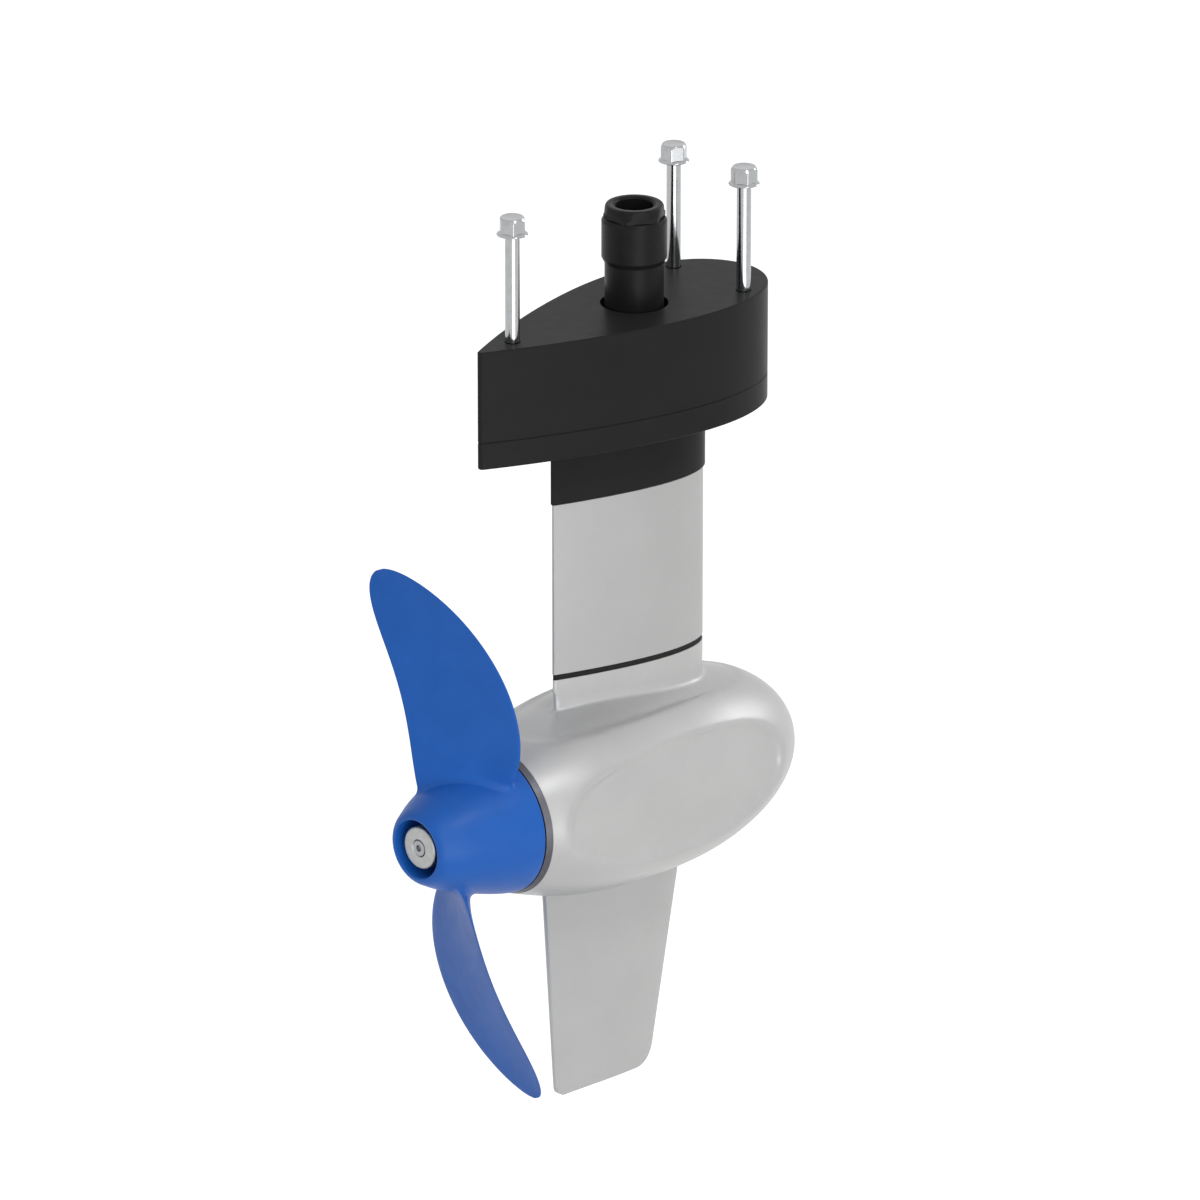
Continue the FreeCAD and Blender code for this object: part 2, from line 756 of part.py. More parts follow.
def skeg_fin():
    body = skeg_fin_form()
    tip_nose = fin_tip_nose_x
    tip_tail = fin_tip_tail_x
    lean_nose = (fin_root_nose_x - fin_tip_nose_x) / (fin_root_z - fin_tip_z)
    lean_tail = (fin_root_tail_x - fin_tip_tail_x) / (fin_root_z - fin_tip_z)
    r = fin_nose_round
    q = fin_tail_round
    margin = 10.0
    z = fin_tip_z
    nose_start = vector(tip_nose + lean_nose * r * 1.1, 0, z + r * 1.1)
    nose_end = vector(tip_nose - r, 0, z)
    nose_mid = vector(tip_nose - r * 0.25, 0, z + r * 0.30)
    tail_start = vector(tip_tail + q, 0, z)
    tail_end = vector(tip_tail + lean_tail * q, 0, z + q)
    tail_mid = vector(tip_tail + q * 0.27, 0, z + q * 0.29)
    top_z = fin_root_z + margin
    outline = Part.Wire([
        Part.makeLine(vector(fin_root_nose_x + margin, 0, top_z), vector(tip_nose + margin, 0, nose_start.z)),
        Part.makeLine(vector(tip_nose + margin, 0, nose_start.z), nose_start),
        Part.Arc(nose_start, nose_mid, nose_end).toShape(),
        Part.makeLine(nose_end, tail_start),
        Part.Arc(tail_start, tail_mid, tail_end).toShape(),
        Part.makeLine(tail_end, vector(fin_root_tail_x - margin, 0, tail_end.z)),
        Part.makeLine(vector(fin_root_tail_x - margin, 0, tail_end.z),
                      vector(fin_root_tail_x - margin, 0, top_z)),
        Part.makeLine(vector(fin_root_tail_x - margin, 0, top_z), vector(fin_root_nose_x + margin, 0, top_z)),
    ])
    width = fin_root_thickness * 2
    side = Part.Face(outline).extrude(vector(0, 2 * width, 0))
    side.translate(vector(0, -width, 0))
    body = body.common(side)
    for x in fin_screw_x:
        body = body.cut(rod_z(fin_screw_thread_radius + fit, screw_tip_z() - 0.5, fin_root_z + 1, x))
    return body


def screw_top_z():
    return pod_axis_z - motor_bore_radius - fin_screw_sink


def screw_tip_z():
    return screw_top_z() - fin_screw_length


def fin_screw(x):
    top_z = screw_top_z()
    head = Part.makeCone(fin_screw_radius, fin_screw_head_radius, fin_screw_head_height,
                         vector(x, 0, top_z - fin_screw_head_height), z_axis)
    socket_end = vector(x, 0, top_z - fin_socket_depth)
    socket = hexagon_prism(fin_socket_across, socket_end, z_axis, fin_socket_depth + 1)
    shank = rod_z(fin_screw_radius, fin_root_z + 0.3, top_z - fin_screw_head_height, x)
    thread = rod_z(fin_screw_thread_radius, screw_tip_z(), fin_root_z + 0.3, x)
    return head.cut(socket).fuse([shank, thread])


# Motor
def sector(r0, r1, angle, x0, x1):
    """Part of a ring, centred on the upward direction."""
    ring = tube_x(r1, r0, x0, x1)
    a = math.radians(angle / 2)
    far = 3 * r1
    base = vector(x0 - 1, 0, pod_axis_z)
    left = vector(x0 - 1, far * math.sin(a), pod_axis_z + far * math.cos(a))
    right = vector(x0 - 1, -far * math.sin(a), pod_axis_z + far * math.cos(a))
    wedge = Part.Face(Part.makePolygon([base, left, right, base])).extrude(vector(x1 - x0 + 2, 0, 0))
    return ring.common(wedge)


def stator_core():
    outer = motor_bore_radius - fit
    body = tube_x(outer, outer - stator_yoke, stack_aft_x, stack_fore_x)
    foot_z = pod_axis_z + stator_bore_radius + tooth_shoe_height / 2
    top_z = pod_axis_z + outer - stator_yoke / 2
    post = block(stack_aft_x, stack_fore_x, -tooth_width / 2, tooth_width / 2, foot_z, top_z)
    shoe = sector(stator_bore_radius, stator_bore_radius + tooth_shoe_height, tooth_shoe_angle,
                  stack_aft_x, stack_fore_x)
    tooth = post.fuse(shoe)
    return body.fuse(round_pattern(tooth, tooth_count)).removeSplitter()


def stator_coils():
    foot_z = pod_axis_z + stator_bore_radius + tooth_shoe_height + coil_foot_gap
    top_z = pod_axis_z + motor_bore_radius - fit - stator_yoke - coil_top_gap
    half = tooth_width / 2 + fit
    outer = block(stack_aft_x - coil_overhang, stack_fore_x + coil_overhang,
                  -half - coil_side, half + coil_side, foot_z, top_z)
    ends = [edge for edge in outer.Edges if abs(edge.BoundBox.ZLength - (top_z - foot_z)) < 0.01]
    outer = outer.makeFillet(coil_side, ends)
    inner = block(stack_aft_x - coil_end_gap, stack_fore_x + coil_end_gap, -half, half, foot_z - 1, top_z + 1)
    return round_pattern(outer.cut(inner), tooth_count)


def rotor_core():
    outer = rotor_radius - magnet_thickness - fit
    body = tube_x(outer, shaft_rotor_radius + fit, stack_aft_x + rotor_end_gap, stack_fore_x)
    hole = rod_x(rotor_hole_radius, stack_aft_x - 1, stack_fore_x + 1, 0, rotor_hole_circle)
    for copy in round_pattern(hole, rotor_hole_count):
        body = body.cut(turned(180.0 / rotor_hole_count, copy))
    return body.cut(key_form(fit))


def rotor_magnets():
    magnet = sector(rotor_radius - magnet_thickness, rotor_radius, magnet_angle,
                    stack_aft_x + rotor_end_gap, stack_fore_x)
    return round_pattern(magnet, magnet_count)


def key_form(grow=0.0):
    middle = (stack_aft_x + stack_fore_x) / 2
    return block(middle - key_length / 2 - grow, middle + key_length / 2 + grow,
                 -key_width / 2 - grow, key_width / 2 + grow,
                 pod_axis_z + shaft_rotor_radius - key_height / 2 - grow,
                 pod_axis_z + shaft_rotor_radius + key_height / 2 + grow)


def shaft_end_x():
    return anode_end_x + anode_thickness + 0.1


def prop_shaft():
    thread_x = hub_boss_end_x() + 0.5
    profile = (
        (shaft_end_x(), shaft_thread_radius),
        (thread_x, shaft_prop_radius),
        (shaft_shoulder_x, shaft_rear_radius - fit / 2),
        (rear_bearing_aft_x + rear_bearing_width, shaft_collar_radius),
        (stack_aft_x, shaft_rotor_radius),
        (shaft_front_step_x - shaft_front_seat_length, shaft_rear_radius),
        (shaft_front_step_x, shaft_front_radius - fit / 2),
    )
    ends = [x for x, radius in profile[1:]] + [shaft_front_end_x]
    steps = [rod_x(radius, x, end) for (x, radius), end in zip(profile, ends)]
    body = steps[0].fuse(steps[1:])
    groove_radius = circlip_radius - circlip_width - fit
    body = body.cut(tube_x(shaft_rotor_radius + 1, groove_radius, circlip_x() - fit,
                           circlip_x() + circlip_thickness + fit))
    body = body.cut(key_form(fit))
    body = body.cut(drive_pin_form(slip / 2))
    return body.cut(rod_x(anode_screw_radius + fit, shaft_end_x() - 1, anode_end_x + anode_screw_length + 1))


def circlip_x():
    return stack_fore_x + 0.2


def rotor_circlip():
    x1 = circlip_x() + circlip_thickness
    ring = tube_x(circlip_radius, circlip_radius - circlip_width, circlip_x(), x1)
    half = circlip_opening / 2
    gap = block(circlip_x() - 1, x1 + 1, -half, half, pod_axis_z - circlip_radius - 1, pod_axis_z)
    return ring.cut(gap)


# Ball bearings: an inner ring, and an outer ring that holds the shields
def bearing_lands(bore, outer, ball):
    middle = (bore + outer) / 2
    return middle - ball * 0.55, middle + ball * 0.55


def bearing_outer(bore, outer, width, ball, x0):
    inner_land, outer_land = bearing_lands(bore, outer, ball)
    ring = tube_x(outer, outer_land, x0, x0 + width)
    for x in (x0 + 0.4, x0 + width - 0.4 - bearing_shield):
        ring = ring.fuse(tube_x(outer_land + 0.3, inner_land + 0.3, x, x + bearing_shield))
    return ring


def bearing_inner(bore, outer, width, ball, x0):
    inner_land = bearing_lands(bore, outer, ball)[0]
    return tube_x(inner_land, bore, x0, x0 + width)


rear_bearing = (shaft_rear_radius, rear_bearing_outer_radius, rear_bearing_width,
                rear_bearing_ball_radius, rear_bearing_aft_x)
front_bearing = (shaft_front_radius, front_bearing_outer_radius, front_bearing_width,
                 front_bearing_ball_radius, front_bearing_aft_x)


# Rear cover: its rim is the grey ring between pod and hub
def cover_rim_x():
    return hub_face_x + 0.5


def countersunk_screw(x0, radius, thread_radius, head_radius, head_height, length, circle):
    """A small screw along X with the flat of its head at x0."""
    head = Part.makeCone(head_radius, radius, head_height, vector(x0, 0, pod_axis_z + circle), x_axis)
    thread = rod_x(thread_radius, x0 + head_height, x0 + length, 0, circle)
    return head.fuse(thread)


def rear_cover():
    rim_x = cover_rim_x()
    pod_edge = tail_radius(pod_tail_x)[0]
    rim = cone_x(hub_face_radius + 0.1, pod_edge, rim_x, pod_tail_x)
    spigot_x = pod_tail_x + cover_spigot_length
    seat_end_x = rear_bearing_aft_x + rear_bearing_width - 0.5
    body = rim.fuse([
        rod_x(motor_bore_radius - fit, pod_tail_x, spigot_x),
        rod_x(cover_boss_radius, pod_tail_x, seat_end_x),
        rod_x(seal_boss_radius, seal_boss_end_x, rim_x + 1),
    ])
    ring_pocket = tube_x(motor_bore_radius - 4.5, cover_boss_radius, rim_x + cover_web, spigot_x + 1)
    body = body.cut(ring_pocket)
    body = body.cut(rod_x(rear_bearing_outer_radius + fit, rear_bearing_aft_x, seat_end_x + 1))
    body = body.cut(rod_x(seal_outer_radius + fit, seal_boss_end_x - 1, rear_bearing_aft_x - 1.5))
    body = body.cut(rod_x(shaft_rear_radius + 1.5, seal_boss_end_x, rear_bearing_aft_x + 1))
    groove_x = pod_tail_x + oring_offset
    groove_end_x = groove_x + oring_section + oring_play
    body = body.cut(tube_x(motor_bore_radius + 1, motor_bore_radius - oring_section, groove_x, groove_end_x))
    screw_hole = rod_x(cover_screw_radius + slip, rim_x - 1, pod_tail_x + 1, 0, cover_screw_circle)
    sink = Part.makeCone(cover_screw_head_radius + slip, cover_screw_radius + slip, cover_screw_head_height,
                         vector(rim_x, 0, pod_axis_z + cover_screw_circle), x_axis)
    cut = screw_hole.fuse(sink)
    for copy in round_pattern(cut, cover_screw_count):
        body = body.cut(turned(180.0 / cover_screw_count, copy))
    return body


def cover_screws():
    screw = countersunk_screw(cover_rim_x() + screw_sink, cover_screw_radius, cover_screw_thread_radius,
                              cover_screw_head_radius, cover_screw_head_height, cover_screw_length,
                              cover_screw_circle)
    return [turned(180.0 / cover_screw_count, copy) for copy in round_pattern(screw, cover_screw_count)]


def cover_oring():
    x0 = pod_tail_x + oring_offset + oring_play / 2
    return tube_x(motor_bore_radius - fit / 2, motor_bore_radius - oring_section + fit, x0, x0 + oring_section)


def shaft_seals():
    seals = []
    for i in range(seal_count):
        x0 = seal_boss_end_x + 0.5 + i * (seal_width + 0.7)
        case = tube_x(seal_outer_radius, seal_outer_radius - 1.5, x0, x0 + seal_width)
        web = tube_x(seal_outer_radius - 1, shaft_rear_radius + 1.2, x0 + seal_width - 1.5, x0 + seal_width)
        lip = Part.makeCone(shaft_rear_radius + running, shaft_rear_radius + 1.8, seal_width - 1,
                            vector(x0 + 0.6, 0, pod_axis_z), x_axis)
        thick = Part.makeCone(shaft_rear_radius + 1.6, shaft_rear_radius + 3.4, seal_width - 1,
                              vector(x0 + 0.6, 0, pod_axis_z), x_axis)
        seals.append(case.fuse([web, thick.cut(lip)]).removeSplitter())
    return seals


# Front bearing carrier
def bearing_carrier():
    x0 = carrier_aft_x
    x1 = x0 + carrier_thickness - fit
    body = rod_x(motor_bore_radius - fit, x0, x1)
    body = body.fuse(rod_x(carrier_boss_radius, x0, x0 + carrier_boss_length))
    boss_end_x = x0 + carrier_boss_length + 1
    body = body.cut(rod_x(front_bearing_outer_radius + fit, front_bearing_aft_x - 1.0, boss_end_x))
    body = body.cut(rod_x(front_bearing_outer_radius - 3.5, x0 - 1, front_bearing_aft_x + 1))
    lead_hole = rod_x(carrier_lead_hole_radius, x0 - 1, x1 + 1, 0, carrier_lead_hole_circle)
    for copy in round_pattern(lead_hole, carrier_lead_hole_count):
        body = body.cut(copy)
    hole = rod_x(cover_screw_radius + slip, x0 - 1, x1 + 1, 0, carrier_screw_circle)
    sink = Part.makeCone(carrier_screw_head_radius + slip, cover_screw_radius + slip, cover_screw_head_height,
                         vector(x0, 0, pod_axis_z + carrier_screw_circle), x_axis)
    for copy in round_pattern(hole.fuse(sink), carrier_screw_count):
        body = body.cut(turned(180.0 / carrier_screw_count, copy))
    return body


def carrier_screws():
    screw = countersunk_screw(carrier_aft_x + screw_sink, cover_screw_radius, cover_screw_thread_radius,
                              carrier_screw_head_radius, cover_screw_head_height, cover_screw_length,
                              carrier_screw_circle)
    return [turned(180.0 / carrier_screw_count, copy) for copy in round_pattern(screw, carrier_screw_count)]


def preload_spring():
    return tube_x(front_bearing_outer_radius - 0.2, front_bearing_outer_radius - 2.6,
                  front_bearing_aft_x - 0.05 - spring_height, front_bearing_aft_x - 0.05)


# Controller
def heat_spreader():
    body = rod_x(chamber_radius - fit, chamber_end_x - spreader_thickness, chamber_end_x - fit)
    return body


def controller_board():
    body = rod_x(board_radius, board_aft_x, board_aft_x + board_thickness)
    hole = rod_x(spacer_stud_radius + board_gap, board_aft_x - 1, board_aft_x + board_thickness + 1, 0, spacer_circle)
    for copy in round_pattern(hole, spacer_count):
        body = body.cut(copy)
    return body


def power_transistors():
    deep, wide, tall = transistor_size
    x1 = chamber_end_x - spreader_thickness - board_gap
    z = pod_axis_z + transistor_circle
    body = block(x1 - deep, x1, -wide / 2, wide / 2, z - tall / 2, z + tall / 2)
    leg = block(board_aft_x + board_thickness + board_gap, x1 - deep + transistor_leg_overlap,
                transistor_leg_inset - wide / 2, wide / 2 - transistor_leg_inset,
                z - transistor_leg_thickness / 2, z + transistor_leg_thickness / 2)
    return [turned(180.0 / transistor_count, copy) for copy in round_pattern(body.fuse(leg), transistor_count)]


def board_capacitors():
    foot_x = board_aft_x - board_gap
    can = rod_x(capacitor_radius, foot_x - capacitor_length, foot_x, 0, capacitor_circle)
    return round_pattern(can, capacitor_count)


def board_spacers():
    x0 = board_aft_x + board_thickness
    pillar = rod_x(spacer_radius, x0 + board_gap, chamber_end_x - spreader_thickness - board_gap, 0, spacer_circle)
    foot_x = board_aft_x - board_gap
    screw = rod_x(spacer_radius, foot_x - spacer_head_height, foot_x, 0, spacer_circle)
    stud = rod_x(spacer_stud_radius, board_aft_x - 1, x0 + 1, 0, spacer_circle)
    return round_pattern(pillar.fuse([screw, stud]), spacer_count)


# Propeller
def hub_boss_start_x():
    return shaft_shoulder_x - thrust_washer_thickness - 2 * washer_gap


def hub_boss_end_x():
    return hub_face_x - hub_length + hub_recess_depth


def blade_section(radius, planar):
    """One section of the blade that points up, wrapped round the shaft's axis or flat."""
    share = (radius - blade_span_start) / (blade_tip_radius - blade_span_start)
    outer = max(share, 0.0)
    pitch = polynomial(blade_pitch, share)
    chord = polynomial(blade_chord, share) * math.sqrt(1 - outer ** blade_tip_power)
    skew = math.radians(polynomial(blade_skew, share))
    axial = polynomial(blade_axial, share)
    slope = math.atan2(pitch, 2 * math.pi * radius)
    thickness = blade_tip_thickness + (blade_root_thickness - blade_tip_thickness) * (1 - outer) ** 1.6
    thickness += blade_root_flare * math.exp(-(radius - blade_span_start) / blade_flare_reach)
    thickness = min(thickness, 0.45 * chord)
    outline = []
    steps = 7
    for i in range(2 * steps + 1):
        angle = math.pi * i / steps
        along = -0.5 * math.cos(angle)
        half = 0.5 * thickness * math.sin(angle) * (0.82 - 0.32 * math.cos(angle))
        camber = 4 * blade_camber * chord * (0.25 - along ** 2)
        outline.append((along * chord, half - camber))
    points = []
    for along, out in outline:
        x = axial + along * math.sin(slope) - out * math.cos(slope)
        arc = along * math.cos(slope) + out * math.sin(slope)
        if planar:
            across = -arc
            y = radius * math.sin(skew) + across * math.cos(skew)
            z = radius * math.cos(skew) - across * math.sin(skew)
        else:
            angle = skew - arc / radius
            y = radius * math.sin(angle)
            z = radius * math.cos(angle)
        points.append(vector(x, y, pod_axis_z + z))
    return points


def blade():
    """A skin through all sections, from trailing edge round to trailing edge, closed at foot and tip."""
    span = blade_tip_radius - blade_span_start
    end = math.asin(blade_tip_share)
    rows = [blade_section(blade_foot_radius, True)]
    for i in range(blade_sections + 1):
        share = math.sin(end * i / blade_sections)
        rows.append(blade_section(blade_span_start + span * share, i == blade_sections))
    surface = Part.BSplineSurface()
    surface.interpolate(rows)
    skin = surface.toShape()
    caps = []
    for edge in skin.Edges:
        if edge.isClosed():
            caps.append(Part.Face(Part.Wire([edge])))
    shell = Part.makeShell([skin] + caps)
    shell.sewShape()
    return Part.makeSolid(shell)


def hub_form():
    """The hub's outer form, turned from a smooth profile with a rounded rim."""
    end_x = hub_face_x - hub_length
    points = [vector(hub_face_x - along, 0, radius) for along, radius in hub_profile]
    rim_start = vector(end_x + 2.2, 0, hub_rim_radius + 2.0)
    curve = Part.BSplineCurve()
    curve.interpolate(Points=points + [rim_start])
    rim_end = vector(end_x, 0, hub_rim_radius - 0.6)
    rim_mid = vector(end_x + 0.5, 0, hub_rim_radius + 0.9)
    outline = Part.Wire([
        curve.toShape(),
        Part.Arc(rim_start, rim_mid, rim_end).toShape(),
        Part.makeLine(rim_end, vector(end_x, 0, 0)),
        Part.makeLine(vector(end_x, 0, 0), vector(hub_face_x, 0, 0)),
        Part.makeLine(vector(hub_face_x, 0, 0), points[0]),
    ])
    form = Part.Face(outline).revolve(vector(0, 0, 0), x_axis, 360)
    form.translate(vector(0, 0, pod_axis_z))
    return form


def hub_pocket():
    """The hollow at the hub's front, as the hub's profile set in by the wall, less boss and ribs."""
    end_x = hub_face_x - hub_pocket_depth
    inner = [(along, radius - hub_wall) for along, radius in hub_profile if along < hub_pocket_depth]
    last_radius = inner[-1][1] - 1.5
    points = [vector(hub_face_x + 1, 0, 0), vector(hub_face_x + 1, 0, inner[0][1])]
    points += [vector(hub_face_x - along, 0, radius) for along, radius in inner]
    points += [vector(end_x, 0, last_radius), vector(end_x, 0, 0)]
    form = Part.Face(Part.makePolygon(points + points[:1])).revolve(vector(0, 0, 0), x_axis, 360)
    form.translate(vector(0, 0, pod_axis_z))
    start_x = hub_boss_start_x()
    form = form.cut(rod_x(hub_boss_radius, end_x - 1, start_x))
    rib = block(end_x - 1, start_x, -hub_rib_width / 2, hub_rib_width / 2,
                pod_axis_z, pod_axis_z + hub_face_radius)
    for copy in round_pattern(rib, hub_rib_count):
        form = form.cut(copy)
    return form


def drive_pin_form(grow=0.0, length=drive_pin_length):
    return rod_z(drive_pin_radius + grow, pod_axis_z - length / 2, pod_axis_z + length / 2, drive_pin_x)


def propeller():
    body = hub_form()
    upper = blade()
    body = body.fuse([turned(360.0 * i / blade_count, upper) for i in range(blade_count)])
    body = body.cut(hub_pocket())
    end_x = hub_face_x - hub_length
    body = body.cut(rod_x(hub_recess_radius, end_x - 1, hub_boss_end_x()))
    body = body.cut(rod_x(shaft_prop_radius + running, end_x, hub_face_x))
    start_x = hub_boss_start_x()
    slot_half = drive_pin_radius + slip
    slot = block(drive_pin_x - slot_half, start_x + 1, -slot_half, slot_half,
                 pod_axis_z - drive_pin_length / 2 - slip, pod_axis_z + drive_pin_length / 2 + slip)
    return body.cut(slot)


def thrust_washer():
    x1 = shaft_shoulder_x - washer_gap
    return tube_x(thrust_washer_radius, shaft_prop_radius + running, x1 - thrust_washer_thickness, x1)


def prop_washer():
    x1 = hub_boss_end_x() - washer_gap
    return tube_x(prop_washer_radius, shaft_prop_radius + running, x1 - prop_washer_thickness, x1)


def prop_nut():
    x1 = hub_boss_end_x() - 2 * washer_gap - prop_washer_thickness
    x0 = x1 - prop_nut_height
    body = hexagon_prism(prop_nut_across, vector(x0, 0, pod_axis_z), x_axis, prop_nut_height)
    corner = prop_nut_across / math.sqrt(3)
    drum = rod_x(corner - 0.5, x0, x1)
    body = body.common(drum)
    return body.cut(rod_x(shaft_thread_radius + fit, x0 - 1, x1 + 1))


def anode():
    x0 = anode_end_x
    body = rod_x(anode_radius, x0, x0 + anode_thickness)
    rim = [edge for edge in body.Edges if abs(edge.BoundBox.XMax - x0) < 0.01]
    body = body.makeFillet(anode_edge_round, rim)
    body = body.cut(rod_x(anode_screw_radius + slip, x0 - 1, x0 + anode_thickness + 1))
    sink = Part.makeCone(anode_screw_head_radius + anode_screw_head_gap, anode_screw_radius + slip,
                         anode_screw_head_height,
                         vector(x0, 0, pod_axis_z), x_axis)
    return body.cut(sink)


def anode_screw():
    x0 = anode_end_x + 0.05
    head = Part.makeCone(anode_screw_head_radius, anode_screw_radius, anode_screw_head_height,
                         vector(x0, 0, pod_axis_z), x_axis)
    socket = hexagon_prism(anode_socket_across, vector(x0 - 1, 0, pod_axis_z), x_axis, anode_socket_depth + 1)
    thread = rod_x(anode_screw_radius, x0 + anode_screw_head_height, x0 + anode_screw_length)
    return head.cut(socket).fuse(thread)


save("hull_block", hull_block())
save("base_flange", base_flange())
save("hull_bolts", *[hull_bolt(x, y) for x, y in bolt_places])
save("bolt_inserts", *[bolt_insert(x, y) for x, y in bolt_places])
save("gland_stem", gland_stem())
save("gland_body", gland_body())
save("gland_cap", gland_cap())
save("gland_seal", gland_seal())
save("pylon", pylon())
save("collar_seal", collar_seal())
save("neck_seal", neck_seal())
save("tie_bolts", *[tie_bolt(x) for x in tie_places])
save("tie_washers", *[tie_washer(x) for x in tie_places])
save("pod_housing", pod_housing())
save("skeg_fin", skeg_fin())
save("fin_screws", *[fin_screw(x) for x in fin_screw_x])
save("stator_core", stator_core())
save("stator_coils", *stator_coils())
save("rotor_core", rotor_core())
save("rotor_magnets", *rotor_magnets())
save("rotor_key", key_form())
save("prop_shaft", prop_shaft())
save("rotor_circlip", rotor_circlip())
save("rear_bearing_outer", bearing_outer(*rear_bearing))
save("rear_bearing_inner", bearing_inner(*rear_bearing))
save("front_bearing_outer", bearing_outer(*front_bearing))
save("front_bearing_inner", bearing_inner(*front_bearing))
save("rear_cover", rear_cover())
save("cover_screws", *cover_screws())
save("cover_oring", cover_oring())
save("shaft_seals", *shaft_seals())
save("bearing_carrier", bearing_carrier())
save("carrier_screws", *carrier_screws())
save("preload_spring", preload_spring())
save("heat_spreader", heat_spreader())
save("controller_board", controller_board())
save("power_transistors", *power_transistors())
save("board_capacitors", *board_capacitors())
save("board_spacers", *board_spacers())
save("propeller", propeller())
save("thrust_washer", thrust_washer())
save("drive_pin", drive_pin_form())
save("prop_washer", prop_washer())
save("prop_nut", prop_nut())
save("anode", anode())
save("anode_screw", anode_screw())
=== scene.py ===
import json
import math

import bpy
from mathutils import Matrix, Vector


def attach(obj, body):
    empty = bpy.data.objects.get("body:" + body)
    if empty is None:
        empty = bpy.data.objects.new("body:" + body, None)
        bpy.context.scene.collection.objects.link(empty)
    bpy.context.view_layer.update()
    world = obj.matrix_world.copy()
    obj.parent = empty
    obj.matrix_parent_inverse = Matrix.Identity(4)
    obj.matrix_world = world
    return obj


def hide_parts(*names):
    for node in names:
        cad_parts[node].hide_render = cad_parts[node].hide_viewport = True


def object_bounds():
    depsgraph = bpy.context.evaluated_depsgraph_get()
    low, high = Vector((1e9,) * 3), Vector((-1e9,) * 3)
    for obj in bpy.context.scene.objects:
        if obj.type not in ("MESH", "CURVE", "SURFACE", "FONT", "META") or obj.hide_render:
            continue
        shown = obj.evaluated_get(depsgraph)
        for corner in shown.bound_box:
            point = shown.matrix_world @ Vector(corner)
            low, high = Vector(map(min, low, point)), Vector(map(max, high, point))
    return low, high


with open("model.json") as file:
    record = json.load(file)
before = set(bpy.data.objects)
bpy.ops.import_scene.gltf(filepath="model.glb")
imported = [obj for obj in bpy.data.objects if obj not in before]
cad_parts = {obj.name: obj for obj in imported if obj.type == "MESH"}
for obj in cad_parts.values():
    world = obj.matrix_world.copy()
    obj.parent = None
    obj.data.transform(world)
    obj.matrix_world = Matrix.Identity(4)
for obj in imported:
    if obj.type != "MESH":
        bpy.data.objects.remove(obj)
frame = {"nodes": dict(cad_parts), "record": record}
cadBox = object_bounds()
bpy.ops.object.select_all(action="DESELECT")
print("frame loaded:", len(frame["nodes"]), "nodes")


# Small helpers

def srgb(hexText):
    # sRGB hex to the linear colour that the shader sockets take
    channels = []
    for start in (0, 2, 4):
        value = int(hexText[start:start + 2], 16) / 255
        channels.append(value / 12.92 if value <= 0.04045 else ((value + 0.055) / 1.055) ** 2.4)
    return (*channels, 1.0)


def perMm(size):
    # a texture's Scale from the real size of its pattern in millimetres
    return 1000.0 / size


def addNode(tree, kind, settings=None, links=None):
    # settings go to a socket where the node has one of that name or number, otherwise to a property
    node = tree.nodes.new(kind)
    for name, value in (settings or {}).items():
        if isinstance(name, str) and name not in node.inputs:
            setattr(node, name, value)
        else:
            node.inputs[name].default_value = value
    for name, source in (links or {}).items():
        tree.links.new(source, node.inputs[name])
    return node


def seenRays(tree):
    # 1 where the camera sees it, also in a mirror or through glass, and 0 where it lights the object
    rays = addNode(tree, "ShaderNodeLightPath")
    seen = addNode(tree, "ShaderNodeMath", {"operation": "MAXIMUM"},
                   {0: rays.outputs["Is Camera Ray"], 1: rays.outputs["Is Glossy Ray"]})
    return addNode(tree, "ShaderNodeMath", {"operation": "MAXIMUM"},
                   {0: seen.outputs[0], 1: rays.outputs["Is Transmission Ray"]})


def newMaterial(name):
    material = bpy.data.materials.new(name)
    material.use_nodes = True
    material.node_tree.nodes.clear()
    return material


def finishMaterial(material, shader):
    output = material.node_tree.nodes.new("ShaderNodeOutputMaterial")
    material.node_tree.links.new(shader.outputs[0], output.inputs["Surface"])
    return material


# Camera: long lens from behind, the starboard side and above

cameraLook = {
    "azimuth": -44.24,           # degrees
    "elevation": 21.02,
    "distance": 6.0,             # metres
    "target": (-0.02605, 0.0, -0.16715),
    "lens": 327.6,               # millimetres
    "sensor": 36.0,
    "farEnd": 60.0,              # metres
}


def placeCamera(look):
    turn = math.radians(look["azimuth"])
    rise = math.radians(look["elevation"])
    target = Vector(look["target"])
    aim = Vector((math.sin(turn) * math.cos(rise), -math.cos(turn) * math.cos(rise), math.sin(rise)))
    bpy.ops.object.camera_add(location=target + aim * look["distance"])
    camera = bpy.context.object
    camera.name = "viewCamera"
    camera.rotation_euler = (-aim).to_track_quat("-Z", "Y").to_euler()
    camera.data.lens = look["lens"]
    camera.data.sensor_width = look["sensor"]
    camera.data.clip_end = look["farEnd"]
    bpy.context.scene.camera = camera


placeCamera(cameraLook)
print("camera placed")


# Light: a plain bright room and four soft lamps: beside the camera, above it, ahead and low down

lightLook = {
    "roomStrength": 0.48,
    "lamps": {                   # place and size in metres, power in watts
        "keyLamp": ((-2.2, -3.8, 1.0), 2.0, 30.0),
        "glintLamp": ((-0.67, -3.14, 3.65), 1.1, 38.0),
        "sideLamp": ((3.67, -0.98, 1.33), 1.6, 26.0),
        "lowLamp": ((-0.8, -1.6, -0.8), 1.4, 13.0),
    },
    "lampColour": "ffffff",
    "aimAt": (0.0, 0.0, -0.2),
}


